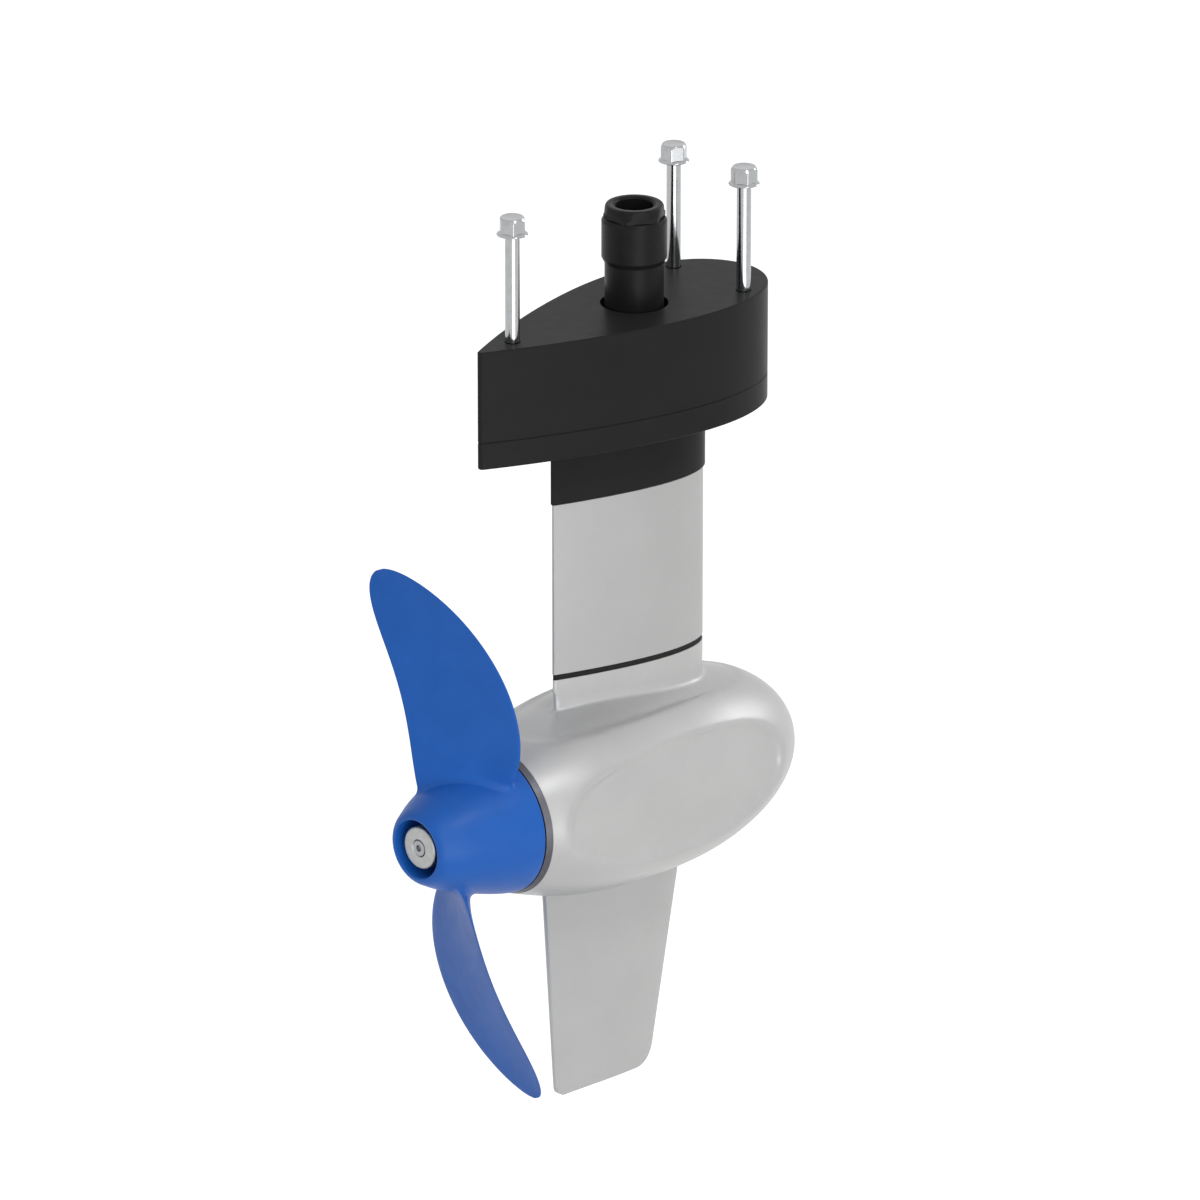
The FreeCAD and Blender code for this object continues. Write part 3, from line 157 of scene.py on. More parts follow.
def addLamp(name, place, size, power, colour, aimAt):
    bpy.ops.object.light_add(type="AREA", location=place)
    lamp = bpy.context.object
    lamp.name = name
    lamp.data.shape = "DISK"
    lamp.data.size = size
    lamp.data.energy = power
    lamp.data.color = srgb(colour)[:3]
    lamp.visible_camera = False
    lamp.rotation_euler = (Vector(aimAt) - Vector(place)).to_track_quat("-Z", "Y").to_euler()


def lightRoom(look):
    world = bpy.data.worlds.new("paleRoom")
    bpy.context.scene.world = world
    world.use_nodes = True
    tree = world.node_tree
    tree.nodes.clear()
    strength = addNode(tree, "ShaderNodeMapRange", {"To Min": look["roomStrength"], "To Max": 1.0},
                       {"Value": seenRays(tree).outputs[0]})
    back = addNode(tree, "ShaderNodeBackground", {"Color": srgb("ffffff")},
                   {"Strength": strength.outputs[0]})
    output = addNode(tree, "ShaderNodeOutputWorld")
    tree.links.new(back.outputs[0], output.inputs["Surface"])
    for name, (place, size, power) in look["lamps"].items():
        addLamp(name, place, size, power, look["lampColour"], look["aimAt"])
    bpy.context.scene.view_settings.view_transform = "Standard"


lightRoom(lightLook)

floorLook = {
    "drop": 0.45,                # metres below the lowest point: the drive hangs from its hull face
    "size": 60.0,
    "colour": "f2f2f0",
    "shadeShare": 0.35,          # how much of the matt floor, and so of the shadow, is seen
    "glow": 1.4,
}


def addFloor(look):
    # Plain pale floor that reads as white and keeps the shadow
    bpy.ops.mesh.primitive_plane_add(size=look["size"], location=(0, 0, cadBox[0][2] - look["drop"]))
    floor = bpy.context.object
    floor.name = "paleFloor"
    material = newMaterial("paleFloorPaint")
    tree = material.node_tree
    matt = addNode(tree, "ShaderNodeBsdfDiffuse", {"Color": srgb(look["colour"]), "Roughness": 1.0})
    glow = addNode(tree, "ShaderNodeEmission", {"Color": srgb("ffffff"), "Strength": look["glow"]})
    share = addNode(tree, "ShaderNodeMath", {"operation": "MULTIPLY", 1: 1.0 - look["shadeShare"]},
                    {0: seenRays(tree).outputs[0]})
    blend = addNode(tree, "ShaderNodeMixShader", None,
                    {0: share.outputs[0], 1: matt.outputs[0], 2: glow.outputs[0]})
    finishMaterial(material, blend)
    floor.data.materials.append(material)


addFloor(floorLook)
print("room and floor lit")


# Finishes

def grainBump(tree, place, size, depth, detail=3.0, links=None):
    # fine relief: size and depth in millimetres
    grain = addNode(tree, "ShaderNodeTexNoise",
                    {"Scale": perMm(size), "Detail": detail, "Roughness": 0.55}, {"Vector": place})
    return addNode(tree, "ShaderNodeBump", {"Strength": 1.0, "Distance": depth / 1000.0},
                   {"Height": grain.outputs[0], **(links or {})})


def mottledRoughness(tree, place, size, low, high):
    cloud = addNode(tree, "ShaderNodeTexNoise", {"Scale": perMm(size), "Detail": 4.0, "Roughness": 0.6},
                    {"Vector": place})
    return addNode(tree, "ShaderNodeMapRange",
                   {"From Min": 0.3, "From Max": 0.7, "To Min": low, "To Max": high},
                   {"Value": cloud.outputs[0]})


def mottledColour(tree, place, size, dark, light):
    cloud = addNode(tree, "ShaderNodeTexNoise", {"Scale": perMm(size), "Detail": 5.0, "Roughness": 0.6},
                    {"Vector": place})
    spread = addNode(tree, "ShaderNodeMapRange", {"From Min": 0.32, "From Max": 0.68},
                     {"Value": cloud.outputs[0]})
    return addNode(tree, "ShaderNodeMix", {"data_type": "RGBA", 6: srgb(dark), 7: srgb(light)},
                   {0: spread.outputs[0]})


def mouldedPlastic(name, look):
    # Moulded plastic: even colour, a spark-eroded grain from the tool and softly uneven gloss
    material = newMaterial(name)
    tree = material.node_tree
    place = addNode(tree, "ShaderNodeTexCoord").outputs["Object"]
    colour = mottledColour(tree, place, look["cloud"], look["dark"], look["light"])
    rough = mottledRoughness(tree, place, look["cloud"] / 3, look["roughLow"], look["roughHigh"])
    bump = grainBump(tree, place, look["grain"], look["grainDepth"])
    shader = addNode(tree, "ShaderNodeBsdfPrincipled",
                     {"IOR": look["ior"], "Specular IOR Level": look["specular"]},
                     {"Base Color": colour.outputs[2], "Roughness": rough.outputs[0],
                      "Normal": bump.outputs[0]})
    return finishMaterial(material, shader)


def silverPaint(name, look):
    # Silver polyester coat over cast aluminium: pale grey, fine metal flake, faint orange peel, satin
    material = newMaterial(name)
    tree = material.node_tree
    place = addNode(tree, "ShaderNodeTexCoord").outputs["Object"]
    flake = addNode(tree, "ShaderNodeTexVoronoi", {"Scale": perMm(look["flake"])}, {"Vector": place})
    tone = mottledColour(tree, place, look["cloud"], look["dark"], look["light"])
    value = addNode(tree, "ShaderNodeMapRange",
                    {"To Min": 1.0 - look["glint"], "To Max": 1.0 + look["glint"]},
                    {"Value": flake.outputs["Color"]})
    shift = addNode(tree, "ShaderNodeHueSaturation", {"Saturation": 1.0},
                    {"Color": tone.outputs[2], "Value": value.outputs[0]})
    peel = grainBump(tree, place, look["peel"], look["peelDepth"], detail=1.0)
    fine = grainBump(tree, place, look["flake"] * 2, look["peelDepth"] / 3,
                     links={"Normal": peel.outputs[0]})
    rough = mottledRoughness(tree, place, look["cloud"] / 2, look["roughLow"], look["roughHigh"])
    shader = addNode(tree, "ShaderNodeBsdfPrincipled",
                     {"Metallic": look["metallic"], "IOR": 1.5,
                      "Coat Weight": look["coat"], "Coat Roughness": 0.35},
                     {"Base Color": shift.outputs[0], "Roughness": rough.outputs[0],
                      "Normal": fine.outputs[0]})
    return finishMaterial(material, shader)


def plainMetal(name, look):
    # Machined or drawn metal: fine tool lines along or round one axis, low even roughness
    material = newMaterial(name)
    tree = material.node_tree
    place = addNode(tree, "ShaderNodeTexCoord").outputs["Object"]
    stretch = addNode(tree, "ShaderNodeMapping", {"Scale": look["stretch"]}, {"Vector": place})
    lines = addNode(tree, "ShaderNodeTexNoise", {"Scale": perMm(look["line"]), "Detail": 3.0},
                    {"Vector": stretch.outputs[0]})
    bump = addNode(tree, "ShaderNodeBump", {"Strength": 0.6, "Distance": look["lineDepth"] / 1000.0},
                   {"Height": lines.outputs[0]})
    colour = mottledColour(tree, place, look["cloud"], look["dark"], look["light"])
    rough = mottledRoughness(tree, place, look["cloud"] / 2, look["roughLow"], look["roughHigh"])
    shader = addNode(tree, "ShaderNodeBsdfPrincipled", {"Metallic": 1.0},
                     {"Base Color": colour.outputs[2], "Roughness": rough.outputs[0],
                      "Normal": bump.outputs[0]})
    return finishMaterial(material, shader)


# Colours as they look on the object, sizes in millimetres
finishes = {
    # glass-filled nylon block, matt black with a light spark grain
    "hull_plastic": mouldedPlastic("blackHullNylon", {
        "dark": "262626", "light": "282828", "cloud": 26.0, "roughLow": 0.35, "roughHigh": 0.4,
        "grain": 0.7, "grainDepth": 0.014, "ior": 1.5, "specular": 0.05}),
    # polyamide gland, a little smoother and darker
    "gland_plastic": mouldedPlastic("blackGlandPolyamide", {
        "dark": "191919", "light": "1d1d1d", "cloud": 9.0, "roughLow": 0.34, "roughHigh": 0.42,
        "grain": 0.5, "grainDepth": 0.015, "ior": 1.52, "specular": 0.1}),
    "seal_rubber": mouldedPlastic("blackSealRubber", {
        "dark": "1a1a1a", "light": "1f1f1f", "cloud": 6.0, "roughLow": 0.7, "roughHigh": 0.85,
        "grain": 0.35, "grainDepth": 0.02, "ior": 1.5, "specular": 0.25}),
    # blue glass-filled nylon, satin with faint flow marks
    "propeller_blue": mouldedPlastic("bluePropellerNylon", {
        "dark": "165bb3", "light": "1c60bb", "cloud": 24.0, "roughLow": 0.38, "roughHigh": 0.46,
        "grain": 0.6, "grainDepth": 0.012, "ior": 1.5, "specular": 0.27}),
    # pod: its silver is set lighter than the column's, partly as painted light for the light it gets
    # from below
    "silver_paint": silverPaint("silverPodPaintWithPaintedLight", {
        "dark": "b6b6b6", "light": "bbbbbb", "cloud": 30.0, "flake": 0.35, "glint": 0.03, "peel": 1.6,
        "peelDepth": 0.006, "roughLow": 0.37, "roughHigh": 0.43, "metallic": 0.35, "coat": 0.25}),
    # column: its silver is set darker than the pod's, partly as painted shade
    "column_paint": silverPaint("silverColumnPaintWithPaintedShade", {
        "dark": "b0b0b0", "light": "b5b5b5", "cloud": 40.0, "flake": 0.35, "glint": 0.03, "peel": 1.6,
        "peelDepth": 0.005, "roughLow": 0.44, "roughHigh": 0.52, "metallic": 0.35, "coat": 0.1}),
    # fin: its silver is raised towards the pod's, partly as painted light for the light from below at
    # its lower end
    "fin_paint": silverPaint("silverFinPaintWithPaintedLight", {
        "dark": "b4b4b4", "light": "b9b9b9", "cloud": 30.0, "flake": 0.35, "glint": 0.03, "peel": 1.6,
        "peelDepth": 0.006, "roughLow": 0.42, "roughHigh": 0.5, "metallic": 0.35, "coat": 0.1}),
    # A4 stainless steel, cold formed and bright
    "bolt_steel": plainMetal("brightBoltSteel", {
        "dark": "a6a8aa", "light": "b0b2b4", "cloud": 5.0, "roughLow": 0.14, "roughHigh": 0.19,
        "line": 0.4, "lineDepth": 0.006, "stretch": (1.0, 1.0, 0.08)}),
    "stainless": plainMetal("turnedStainless", {
        "dark": "9b9da0", "light": "a8aaad", "cloud": 5.0, "roughLow": 0.3, "roughHigh": 0.4,
        "line": 0.4, "lineDepth": 0.006, "stretch": (1.0, 0.2, 0.2)}),
    # cast aluminium anode, dull
    "anode_metal": plainMetal("castAnodeAlloy", {
        "dark": "a9aaaa", "light": "b6b7b7", "cloud": 3.0, "roughLow": 0.4, "roughHigh": 0.5,
        "line": 0.6, "lineDepth": 0.03, "stretch": (1.0, 1.0, 1.0)}),
    # hard-anodised aluminium cover: warm grey, its rim is the ring behind the hub
    "cover_metal": plainMetal("anodisedCoverAlloy", {
        "dark": "58585e", "light": "636369", "cloud": 6.0, "roughLow": 0.38, "roughHigh": 0.5,
        "line": 0.3, "lineDepth": 0.006, "stretch": (1.0, 0.15, 0.15)}),
    "inner_aluminium": plainMetal("machinedAluminium", {
        "dark": "b4b6b8", "light": "c6c8ca", "cloud": 8.0, "roughLow": 0.3, "roughHigh": 0.42,
        "line": 0.3, "lineDepth": 0.01, "stretch": (1.0, 0.15, 0.15)}),
    "brass": plainMetal("turnedBrass", {
        "dark": "b08d4a", "light": "c6a35a", "cloud": 5.0, "roughLow": 0.22, "roughHigh": 0.34,
        "line": 0.3, "lineDepth": 0.01, "stretch": (1.0, 1.0, 0.15)}),
    "bronze": plainMetal("sinteredBronze", {
        "dark": "8f6840", "light": "a57a4c", "cloud": 2.0, "roughLow": 0.4, "roughHigh": 0.52,
        "line": 0.3, "lineDepth": 0.02, "stretch": (1.0, 1.0, 1.0)}),
    # stacked electrical steel, the sheet edges show as fine rings across the axis
    "lamination": plainMetal("laminatedSteel", {
        "dark": "5e636b", "light": "787d85", "cloud": 6.0, "roughLow": 0.35, "roughHigh": 0.5,
        "line": 0.5, "lineDepth": 0.05, "stretch": (1.0, 0.02, 0.02)}),
    "copper_winding": plainMetal("enamelledCopper", {
        "dark": "9a4f2a", "light": "b8683a", "cloud": 2.0, "roughLow": 0.25, "roughHigh": 0.35,
        "line": 0.9, "lineDepth": 0.2, "stretch": (0.05, 1.0, 1.0)}),
    "magnet": plainMetal("platedMagnet", {
        "dark": "a8aaac", "light": "b8babc", "cloud": 4.0, "roughLow": 0.24, "roughHigh": 0.34,
        "line": 0.3, "lineDepth": 0.004, "stretch": (1.0, 1.0, 1.0)}),
    "board_green": mouldedPlastic("greenBoardLacquer", {
        "dark": "14502c", "light": "1a6236", "cloud": 5.0, "roughLow": 0.25, "roughHigh": 0.35,
        "grain": 0.8, "grainDepth": 0.01, "ior": 1.5, "specular": 0.5}),
    "component_black": mouldedPlastic("blackComponentResin", {
        "dark": "19191a", "light": "222223", "cloud": 3.0, "roughLow": 0.45, "roughHigh": 0.6,
        "grain": 0.3, "grainDepth": 0.015, "ior": 1.55, "specular": 0.4}),
}


nodeSlots = {part["node"]: part["material_slot"] for part in frame["record"]["subparts"]}
for name, node in frame["nodes"].items():
    if not node.material_slots:
        node.data.materials.append(None)
    for materialSlot in node.material_slots:
        materialSlot.material = finishes[nodeSlots[name]]
print("finishes given to the CAD nodes")


# Ways of working that several pieces share: millimetres in the dictionaries, metres in the meshes

axisZ = -275.2                   # height of the pod's and the propeller's axis
hair = 0.001                     # radius that closes an end, since a point can't be resized
# millimetres within which vertices merge, a cut passes through them or they count as being at a place
closeBy = {"merge": 0.01, "latheMerge": 0.002, "cut": 0.001, "level": 0.1, "corner": 1.0}


def metres(x, y, z):
    return Vector((x, y, z)) / 1000.0


def pick(piece):
    # only this piece is selected, and it is the active one
    bpy.ops.object.select_all(action="DESELECT")
    piece.select_set(True)
    bpy.context.view_layer.objects.active = piece


def startEdit(piece, mode="VERT"):
    pick(piece)
    bpy.ops.object.mode_set(mode="EDIT")
    bpy.ops.mesh.select_mode(type=mode)
    bpy.ops.mesh.select_all(action="SELECT")


def endEdit():
    bpy.ops.object.mode_set(mode="OBJECT")


def applyPlace(piece):
    pick(piece)
    bpy.ops.object.transform_apply(location=True, rotation=True, scale=True)


def selectPoints(piece, wanted):
    # leaves edit mode with just those vertices selected that the test picks
    bpy.ops.mesh.select_all(action="DESELECT")
    bpy.ops.object.mode_set(mode="OBJECT")
    for vertex in piece.data.vertices:
        vertex.select = wanted(vertex.co)
    bpy.ops.object.mode_set(mode="EDIT")


def selectFaces(piece, wanted):
    bpy.ops.mesh.select_mode(type="FACE")
    bpy.ops.mesh.select_all(action="DESELECT")
    bpy.ops.object.mode_set(mode="OBJECT")
    for face in piece.data.polygons:
        face.select = wanted(face.center, face.normal)
    bpy.ops.object.mode_set(mode="EDIT")


def copyOfNode(node, name):
    # a merged copy of a CAD node's mesh, to be remodelled
    mesh = frame["nodes"][node].data.copy()
    mesh.materials.clear()
    piece = bpy.data.objects.new(name, mesh)
    bpy.context.collection.objects.link(piece)
    startEdit(piece)
    bpy.ops.mesh.remove_doubles(threshold=closeBy["merge"] / 1000)
    endEdit()
    return piece


def joinPieces(piece, others):
    pick(piece)
    for other in others:
        other.select_set(True)
    bpy.ops.object.join()


def keepLargestPart(piece):
    pick(piece)
    bpy.ops.mesh.separate(type="LOOSE")
    parts = list(bpy.context.selected_objects)
    largest = max(parts, key=lambda part: len(part.data.vertices))
    for part in parts:
        if part != largest:
            bpy.data.objects.remove(part)
    return largest


def combine(piece, tool, operation="DIFFERENCE"):
    bpy.context.view_layer.objects.active = piece
    cut = piece.modifiers.new("cut", "BOOLEAN")
    cut.operation = operation
    cut.solver = "MANIFOLD"
    cut.object = tool
    bpy.ops.object.modifier_apply(modifier=cut.name)
    bpy.data.objects.remove(tool)


def roundBar(radius, start, end, along="x", x=0.0, y=0.0, z=0.0, sides=96):
    # plain cylinder used to fill or cut a hole; z is measured from the pod's axis when it lies along x
    if along == "x":
        place = metres((start + end) / 2, y, axisZ + z)
        turn = (0.0, math.radians(90.0), 0.0)
    else:
        place = metres(x, y, (start + end) / 2)
        turn = (0.0, 0.0, 0.0)
    bpy.ops.object.select_all(action="DESELECT")
    bpy.ops.mesh.primitive_cylinder_add(vertices=sides, radius=radius / 1000, depth=(end - start) / 1000,
                                        location=place, rotation=turn)
    bar = bpy.context.object
    applyPlace(bar)
    return bar


def latheForm(name, stations, sides, centre=Vector((0, 0, 0)), along="x"):
    # a ring is extruded from station to station and resized: (place along the axis, radius)
    direction = Vector((1, 0, 0)) if along == "x" else Vector((0, 0, 1))
    turn = (0.0, math.radians(90.0), 0.0) if along == "x" else (0.0, 0.0, 0.0)
    start, radius = stations[0]
    bpy.ops.object.select_all(action="DESELECT")
    bpy.ops.mesh.primitive_circle_add(vertices=sides, radius=radius / 1000, rotation=turn,
                                      location=centre + direction * start / 1000)
    piece = bpy.context.object
    piece.name = name
    piece.data.name = name
    applyPlace(piece)
    startEdit(piece)
    for (place0, radius0), (place1, radius1) in zip(stations, stations[1:]):
        step = direction * (place1 - place0) / 1000
        bpy.ops.mesh.extrude_region_move(TRANSFORM_OT_translate={"value": step})
        ratio = radius1 / radius0
        resize = (1.0, ratio, ratio) if along == "x" else (ratio, ratio, 1.0)
        bpy.ops.transform.resize(value=resize, center_override=centre + direction * place1 / 1000)
    bpy.ops.mesh.select_all(action="SELECT")
    bpy.ops.mesh.remove_doubles(threshold=closeBy["latheMerge"] / 1000)
    bpy.ops.mesh.normals_make_consistent(inside=False)
    endEdit()
    return piece


def finishPiece(piece, name, body, materialSlot, nodes, sharpAngle=32.0):
    piece.name = name
    piece.data.name = name
    pick(piece)
    bpy.ops.object.shade_smooth_by_angle(angle=math.radians(sharpAngle))
    piece.data.materials.clear()
    piece.data.materials.append(finishes[materialSlot])
    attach(piece, body)
    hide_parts(*nodes)


# Pod: the cast housing with the soft edges that casting and coating give it

podLook = {
    "voxel": 1.25,
    "stub": 6.0,                 # spare length past tail and neck, cut off once the edges are soft
    "stubCut": 1.0,              # how far the fillers reach past the stubs
    "tailX": -103.0, "tailRadius": 41.6,
    "tailSlope": 0.36,           # rise of the outline per length at the tail
    "neckTopZ": -204.8,
    "endFacing": 0.99,           # how squarely a face of the two flat ends looks along its axis
    # what is filled before softening and, but for the cover's holes, bored again afterwards
    "boreRadius": 34.0, "boreEnd": 30.0,
    "chamber": (29.0, 29.0, 72.0),           # radius, start, end
    "leadHole": (7.5, 9.0),                  # radius, x
    "tieHoles": (3.35, (31.0, -30.0), 24.0),     # radius, x of each, depth
    "coverHoles": (1.3, 37.2, 6, 14.0),      # radius, radius of their circle, count, depth
    "fillExtra": 0.7,
    "softenings": ((-212.0, 4), (-214.0, 4), (-216.0, 4)),   # below this height, so many passes
    # side recess: centre x and z, half length, half height, power of its oval
    "recess": (-10.5, -271.0, 82.0, 31.0, 2.35),
    "recessLeast": 0.05,         # share of the oval below which a place counts as its centre
    "recessFrom": 28.0,          # only the skin farther out than this goes down
    "recessSteps": (1.8, 1.1, 0.4, -0.3, -1.0, -1.7, -2.4, -3.1), "recessStep": 0.27,
    "recessBand": (-5.5, 4.0), "recessPasses": 3,
    "finGap": 0.12,
}


def recessOffset(look, place):
    # millimetres outside the oval's line, seen from its centre
    x, z, halfLength, halfHeight, power = look["recess"]
    along = place.x * 1000 - x
    rise = place.z * 1000 - z
    share = ((abs(along) / halfLength) ** power + (abs(rise) / halfHeight) ** power) ** (1 / power)
    return math.hypot(along, rise) * (1 - 1 / max(share, look["recessLeast"]))


def softenRecess(look, piece):
    # the floor goes down in small steps and the wall spreads into a soft band; in edit mode
    low, high = look["recessBand"]
    least = look["recessFrom"] / 1000
    for side in (-1, 1):
        for offset in look["recessSteps"]:
            selectPoints(piece, lambda place: place.y * side > least
                         and recessOffset(look, place) < offset)
            bpy.ops.transform.translate(value=metres(0, -side * look["recessStep"], 0))
        selectPoints(piece, lambda place: place.y * side > least
                     and low < recessOffset(look, place) < high)
        bpy.ops.mesh.vertices_smooth(factor=0.5, repeat=look["recessPasses"])


def podFillers(look, extra, whole):
    # bars in the holes; the whole set also fills the cover's holes, which the finished pod leaves out
    tail = look["tailX"] - look["stub"] - look["stubCut"]
    top = look["neckTopZ"] + look["stub"] + look["stubCut"]
    bars = [roundBar(look["boreRadius"] + extra, tail, look["boreEnd"] + extra)]
    radius, start, end = look["chamber"]
    bars.append(roundBar(radius + extra, start - extra, end + extra))
    radius, x = look["leadHole"]
    bars.append(roundBar(radius + extra, axisZ, top, "z", x))
    radius, places, depth = look["tieHoles"]
    for x in places:
        bars.append(roundBar(radius + extra, look["neckTopZ"] - depth - extra, top, "z", x))
    if whole:
        radius, circle, count, depth = look["coverHoles"]
        for index in range(count):
            angle = 2 * math.pi * (index + 0.5) / count
            bars.append(roundBar(radius + extra, tail, look["tailX"] + depth + extra, "x", 0.0,
                                 circle * math.sin(angle), circle * math.cos(angle), 24))
    return bars


def finPlug():
    # what fills the fin's slot flush with the pod's underside: the fin within the hull of the lower half
    underside = copyOfNode("pod_housing", "podUnderside")
    startEdit(underside)
    selectPoints(underside, lambda place: place.z > axisZ / 1000)
    bpy.ops.mesh.delete(type="VERT")
    bpy.ops.mesh.select_all(action="SELECT")
    bpy.ops.mesh.convex_hull()
    endEdit()
    plug = copyOfNode("skeg_fin", "finPlug")
    combine(plug, underside, "INTERSECT")
    return plug


def modelPod(look):
    piece = copyOfNode("pod_housing", "castPod")
    # stubs past the tail and the neck keep those two ends crisp
    startEdit(piece, "FACE")
    facing = look["endFacing"]
    near = closeBy["level"] / 1000
    tail = look["tailX"] / 1000
    selectFaces(piece, lambda place, normal: normal.x < -facing and abs(place.x - tail) < near)
    stub = look["stub"] / 1000
    bpy.ops.mesh.extrude_region_move(TRANSFORM_OT_translate={"value": (-stub, 0, 0)})
    shrink = 1 - look["tailSlope"] * look["stub"] / look["tailRadius"]
    bpy.ops.transform.resize(value=(1.0, shrink, shrink),
                             center_override=metres(look["tailX"], 0, axisZ))
    top = look["neckTopZ"] / 1000
    selectFaces(piece, lambda place, normal: normal.z > facing and abs(place.z - top) < near)
    bpy.ops.mesh.extrude_region_move(TRANSFORM_OT_translate={"value": (0, 0, stub)})
    endEdit()
    fillers = podFillers(look, look["fillExtra"], True)
    fillers.append(finPlug())
    joinPieces(piece, fillers)
    skin = piece.modifiers.new("skin", "REMESH")
    skin.mode = "VOXEL"
    skin.voxel_size = look["voxel"] / 1000
    bpy.ops.object.modifier_apply(modifier=skin.name)
    piece = keepLargestPart(piece)
    startEdit(piece)
    softenRecess(look, piece)
    for height, passes in look["softenings"]:
        selectPoints(piece, lambda place: place.z < height / 1000)
        bpy.ops.mesh.vertices_smooth(factor=0.5, repeat=passes)
    # the stubs come off, and the holes are bored again
    ends = ((metres(look["tailX"], 0, 0), (-1, 0, 0)), (metres(0, 0, look["neckTopZ"]), (0, 0, 1)))
    for place, normal in ends:
        bpy.ops.mesh.select_all(action="SELECT")
        bpy.ops.mesh.bisect(plane_co=place, plane_no=normal, use_fill=True, clear_outer=True,
                            threshold=closeBy["cut"] / 1000)
    endEdit()
    for bar in podFillers(look, 0.0, False):
        combine(piece, bar)
    fin = copyOfNode("skeg_fin", "finCutter")
    startEdit(fin)
    bpy.ops.transform.shrink_fatten(value=look["finGap"] / 1000)
    endEdit()
    combine(piece, fin)
    print("pod remeshed and bored:", len(piece.data.polygons), "faces")
    return piece


pod = modelPod(podLook)
finishPiece(pod, "castPod", "housing", "silver_paint", ["pod_housing"])


# Propeller: moulded in one piece, its blades run into the hub with a soft fillet

propellerLook = {
    "tipRadius": 151.0,
    "lawStart": 35.0, "lawEnd": 151.2,       # radii where the blade's laws have share 0 and 1
    "pitch": (149.0, -10.0, 62.0),
    "chord": (53.2, 95.2, -81.6, 5.0),
    "skew": (-2.9, -21.4, 94.1, -45.7),
    "axial": (-132.7, 3.4, -10.4, 5.6),
    "tipPower": 2.4,
    "rootThickness": 8.5, "tipThickness": 2.0, "thinning": 1.6, "camber": 0.035,
    "fullness": (0.82, 0.32),    # of the section: evenly, and more towards its nose
    "thickestShare": 0.45,       # of the chord, where the tip runs out
    "flare": 2.5, "flareReach": 7.0,
    "fillet": 3.2,
    "around": 56, "rows": 72,
    "rowSink": 0.008, "rowPowers": (1.5, 1.15),  # how deep the first row lies and how the rows crowd
    "settleTurns": 6,            # rounds until a point's radius and its place on the hub agree
    "blades": 2,
    # hub: place aft of its front face and radius
    "faceX": -106.9,
    "outline": (40.70, -0.1017, -0.010355, 0.0002376, -0.000002331), "outlineEnd": 54.0,
    "rim": ((55.6, 21.85), (56.9, 20.95), (57.9, 20.0), (58.6, 19.1), (59.0, 18.25), (59.2, 17.6),
            (59.12, 17.05), (58.9, 16.72), (58.4, 16.6)),
    "recessRadius": 16.6, "recessFloor": 39.2, "recessRound": 0.6,
    "boreRadius": 7.06, "boreEdge": 0.5,
    "bossRadius": 13.0, "bossStart": 14.7,
    "wall": 5.0, "pocketDepth": 33.0,
    "edge": 0.5, "edgeRound": 0.3,           # rounded front edge, and where its middle lies as a share
    "outsideSteps": 26, "insideSteps": 8, "sides": 144,
    "ribs": 6, "ribWidth": 3.5, "ribSink": 0.5,
}


def lawAt(numbers, share):
    return sum(number * share ** power for power, number in enumerate(numbers))


def hubRadius(look, place):
    # radius of the hub's outside at a place along the axis
    aft = min(max(look["faceX"] - place, 0.0), look["outlineEnd"])
    return lawAt(look["outline"], aft)


def bladePoint(look, around, rise):
    # rise runs from the hub's surface, 0, to the tip, 1; around runs once round the section
    angle = 2 * math.pi * around
    radius = look["lawStart"]
    even, nose = look["fullness"]
    for turn in range(look["settleTurns"]):
        share = (radius - look["lawStart"]) / (look["lawEnd"] - look["lawStart"])
        outer = min(max(share, 0.0), 1.0)
        chord = lawAt(look["chord"], share) * math.sqrt(1 - outer ** look["tipPower"])
        skew = math.radians(lawAt(look["skew"], share))
        slope = math.atan2(lawAt(look["pitch"], share), 2 * math.pi * radius)
        thickness = look["rootThickness"] - look["tipThickness"]
        thickness = look["tipThickness"] + thickness * (1 - outer) ** look["thinning"]
        thickness += look["flare"] * math.exp(-(radius - look["lawStart"]) / look["flareReach"])
        thickness = min(thickness, look["thickestShare"] * chord)
        along = -0.5 * math.cos(angle) * chord
        half = 0.5 * thickness * math.sin(angle) * (even - nose * math.cos(angle))
        bow = 0.25 - (along / chord) ** 2 if chord > hair else 0.25
        out = half - 4 * look["camber"] * chord * bow
        # outward direction of the section's outline, for the fillet at its foot
        runAlong = 0.5 * math.sin(angle) * chord
        runOut = 0.5 * thickness * (even * math.cos(angle) - nose * math.cos(2 * angle))
        size = math.hypot(runAlong, runOut) or 1.0
        height = max((look["tipRadius"] - hubRadius(look, look["faceX"])) * rise, 0.0)
        gap = max(look["fillet"] - height, 0.0)
        swell = look["fillet"] - math.sqrt(look["fillet"] ** 2 - gap ** 2)
        along -= swell * runOut / size
        out += swell * runAlong / size
        place = lawAt(look["axial"], share) + along * math.sin(slope) - out * math.cos(slope)
        arc = along * math.cos(slope) + out * math.sin(slope)
        foot = hubRadius(look, place)
        radius = foot + (look["tipRadius"] - foot) * rise
        turned = skew - arc / radius
        point = metres(place, radius * math.sin(turned), axisZ + radius * math.cos(turned))
    return point


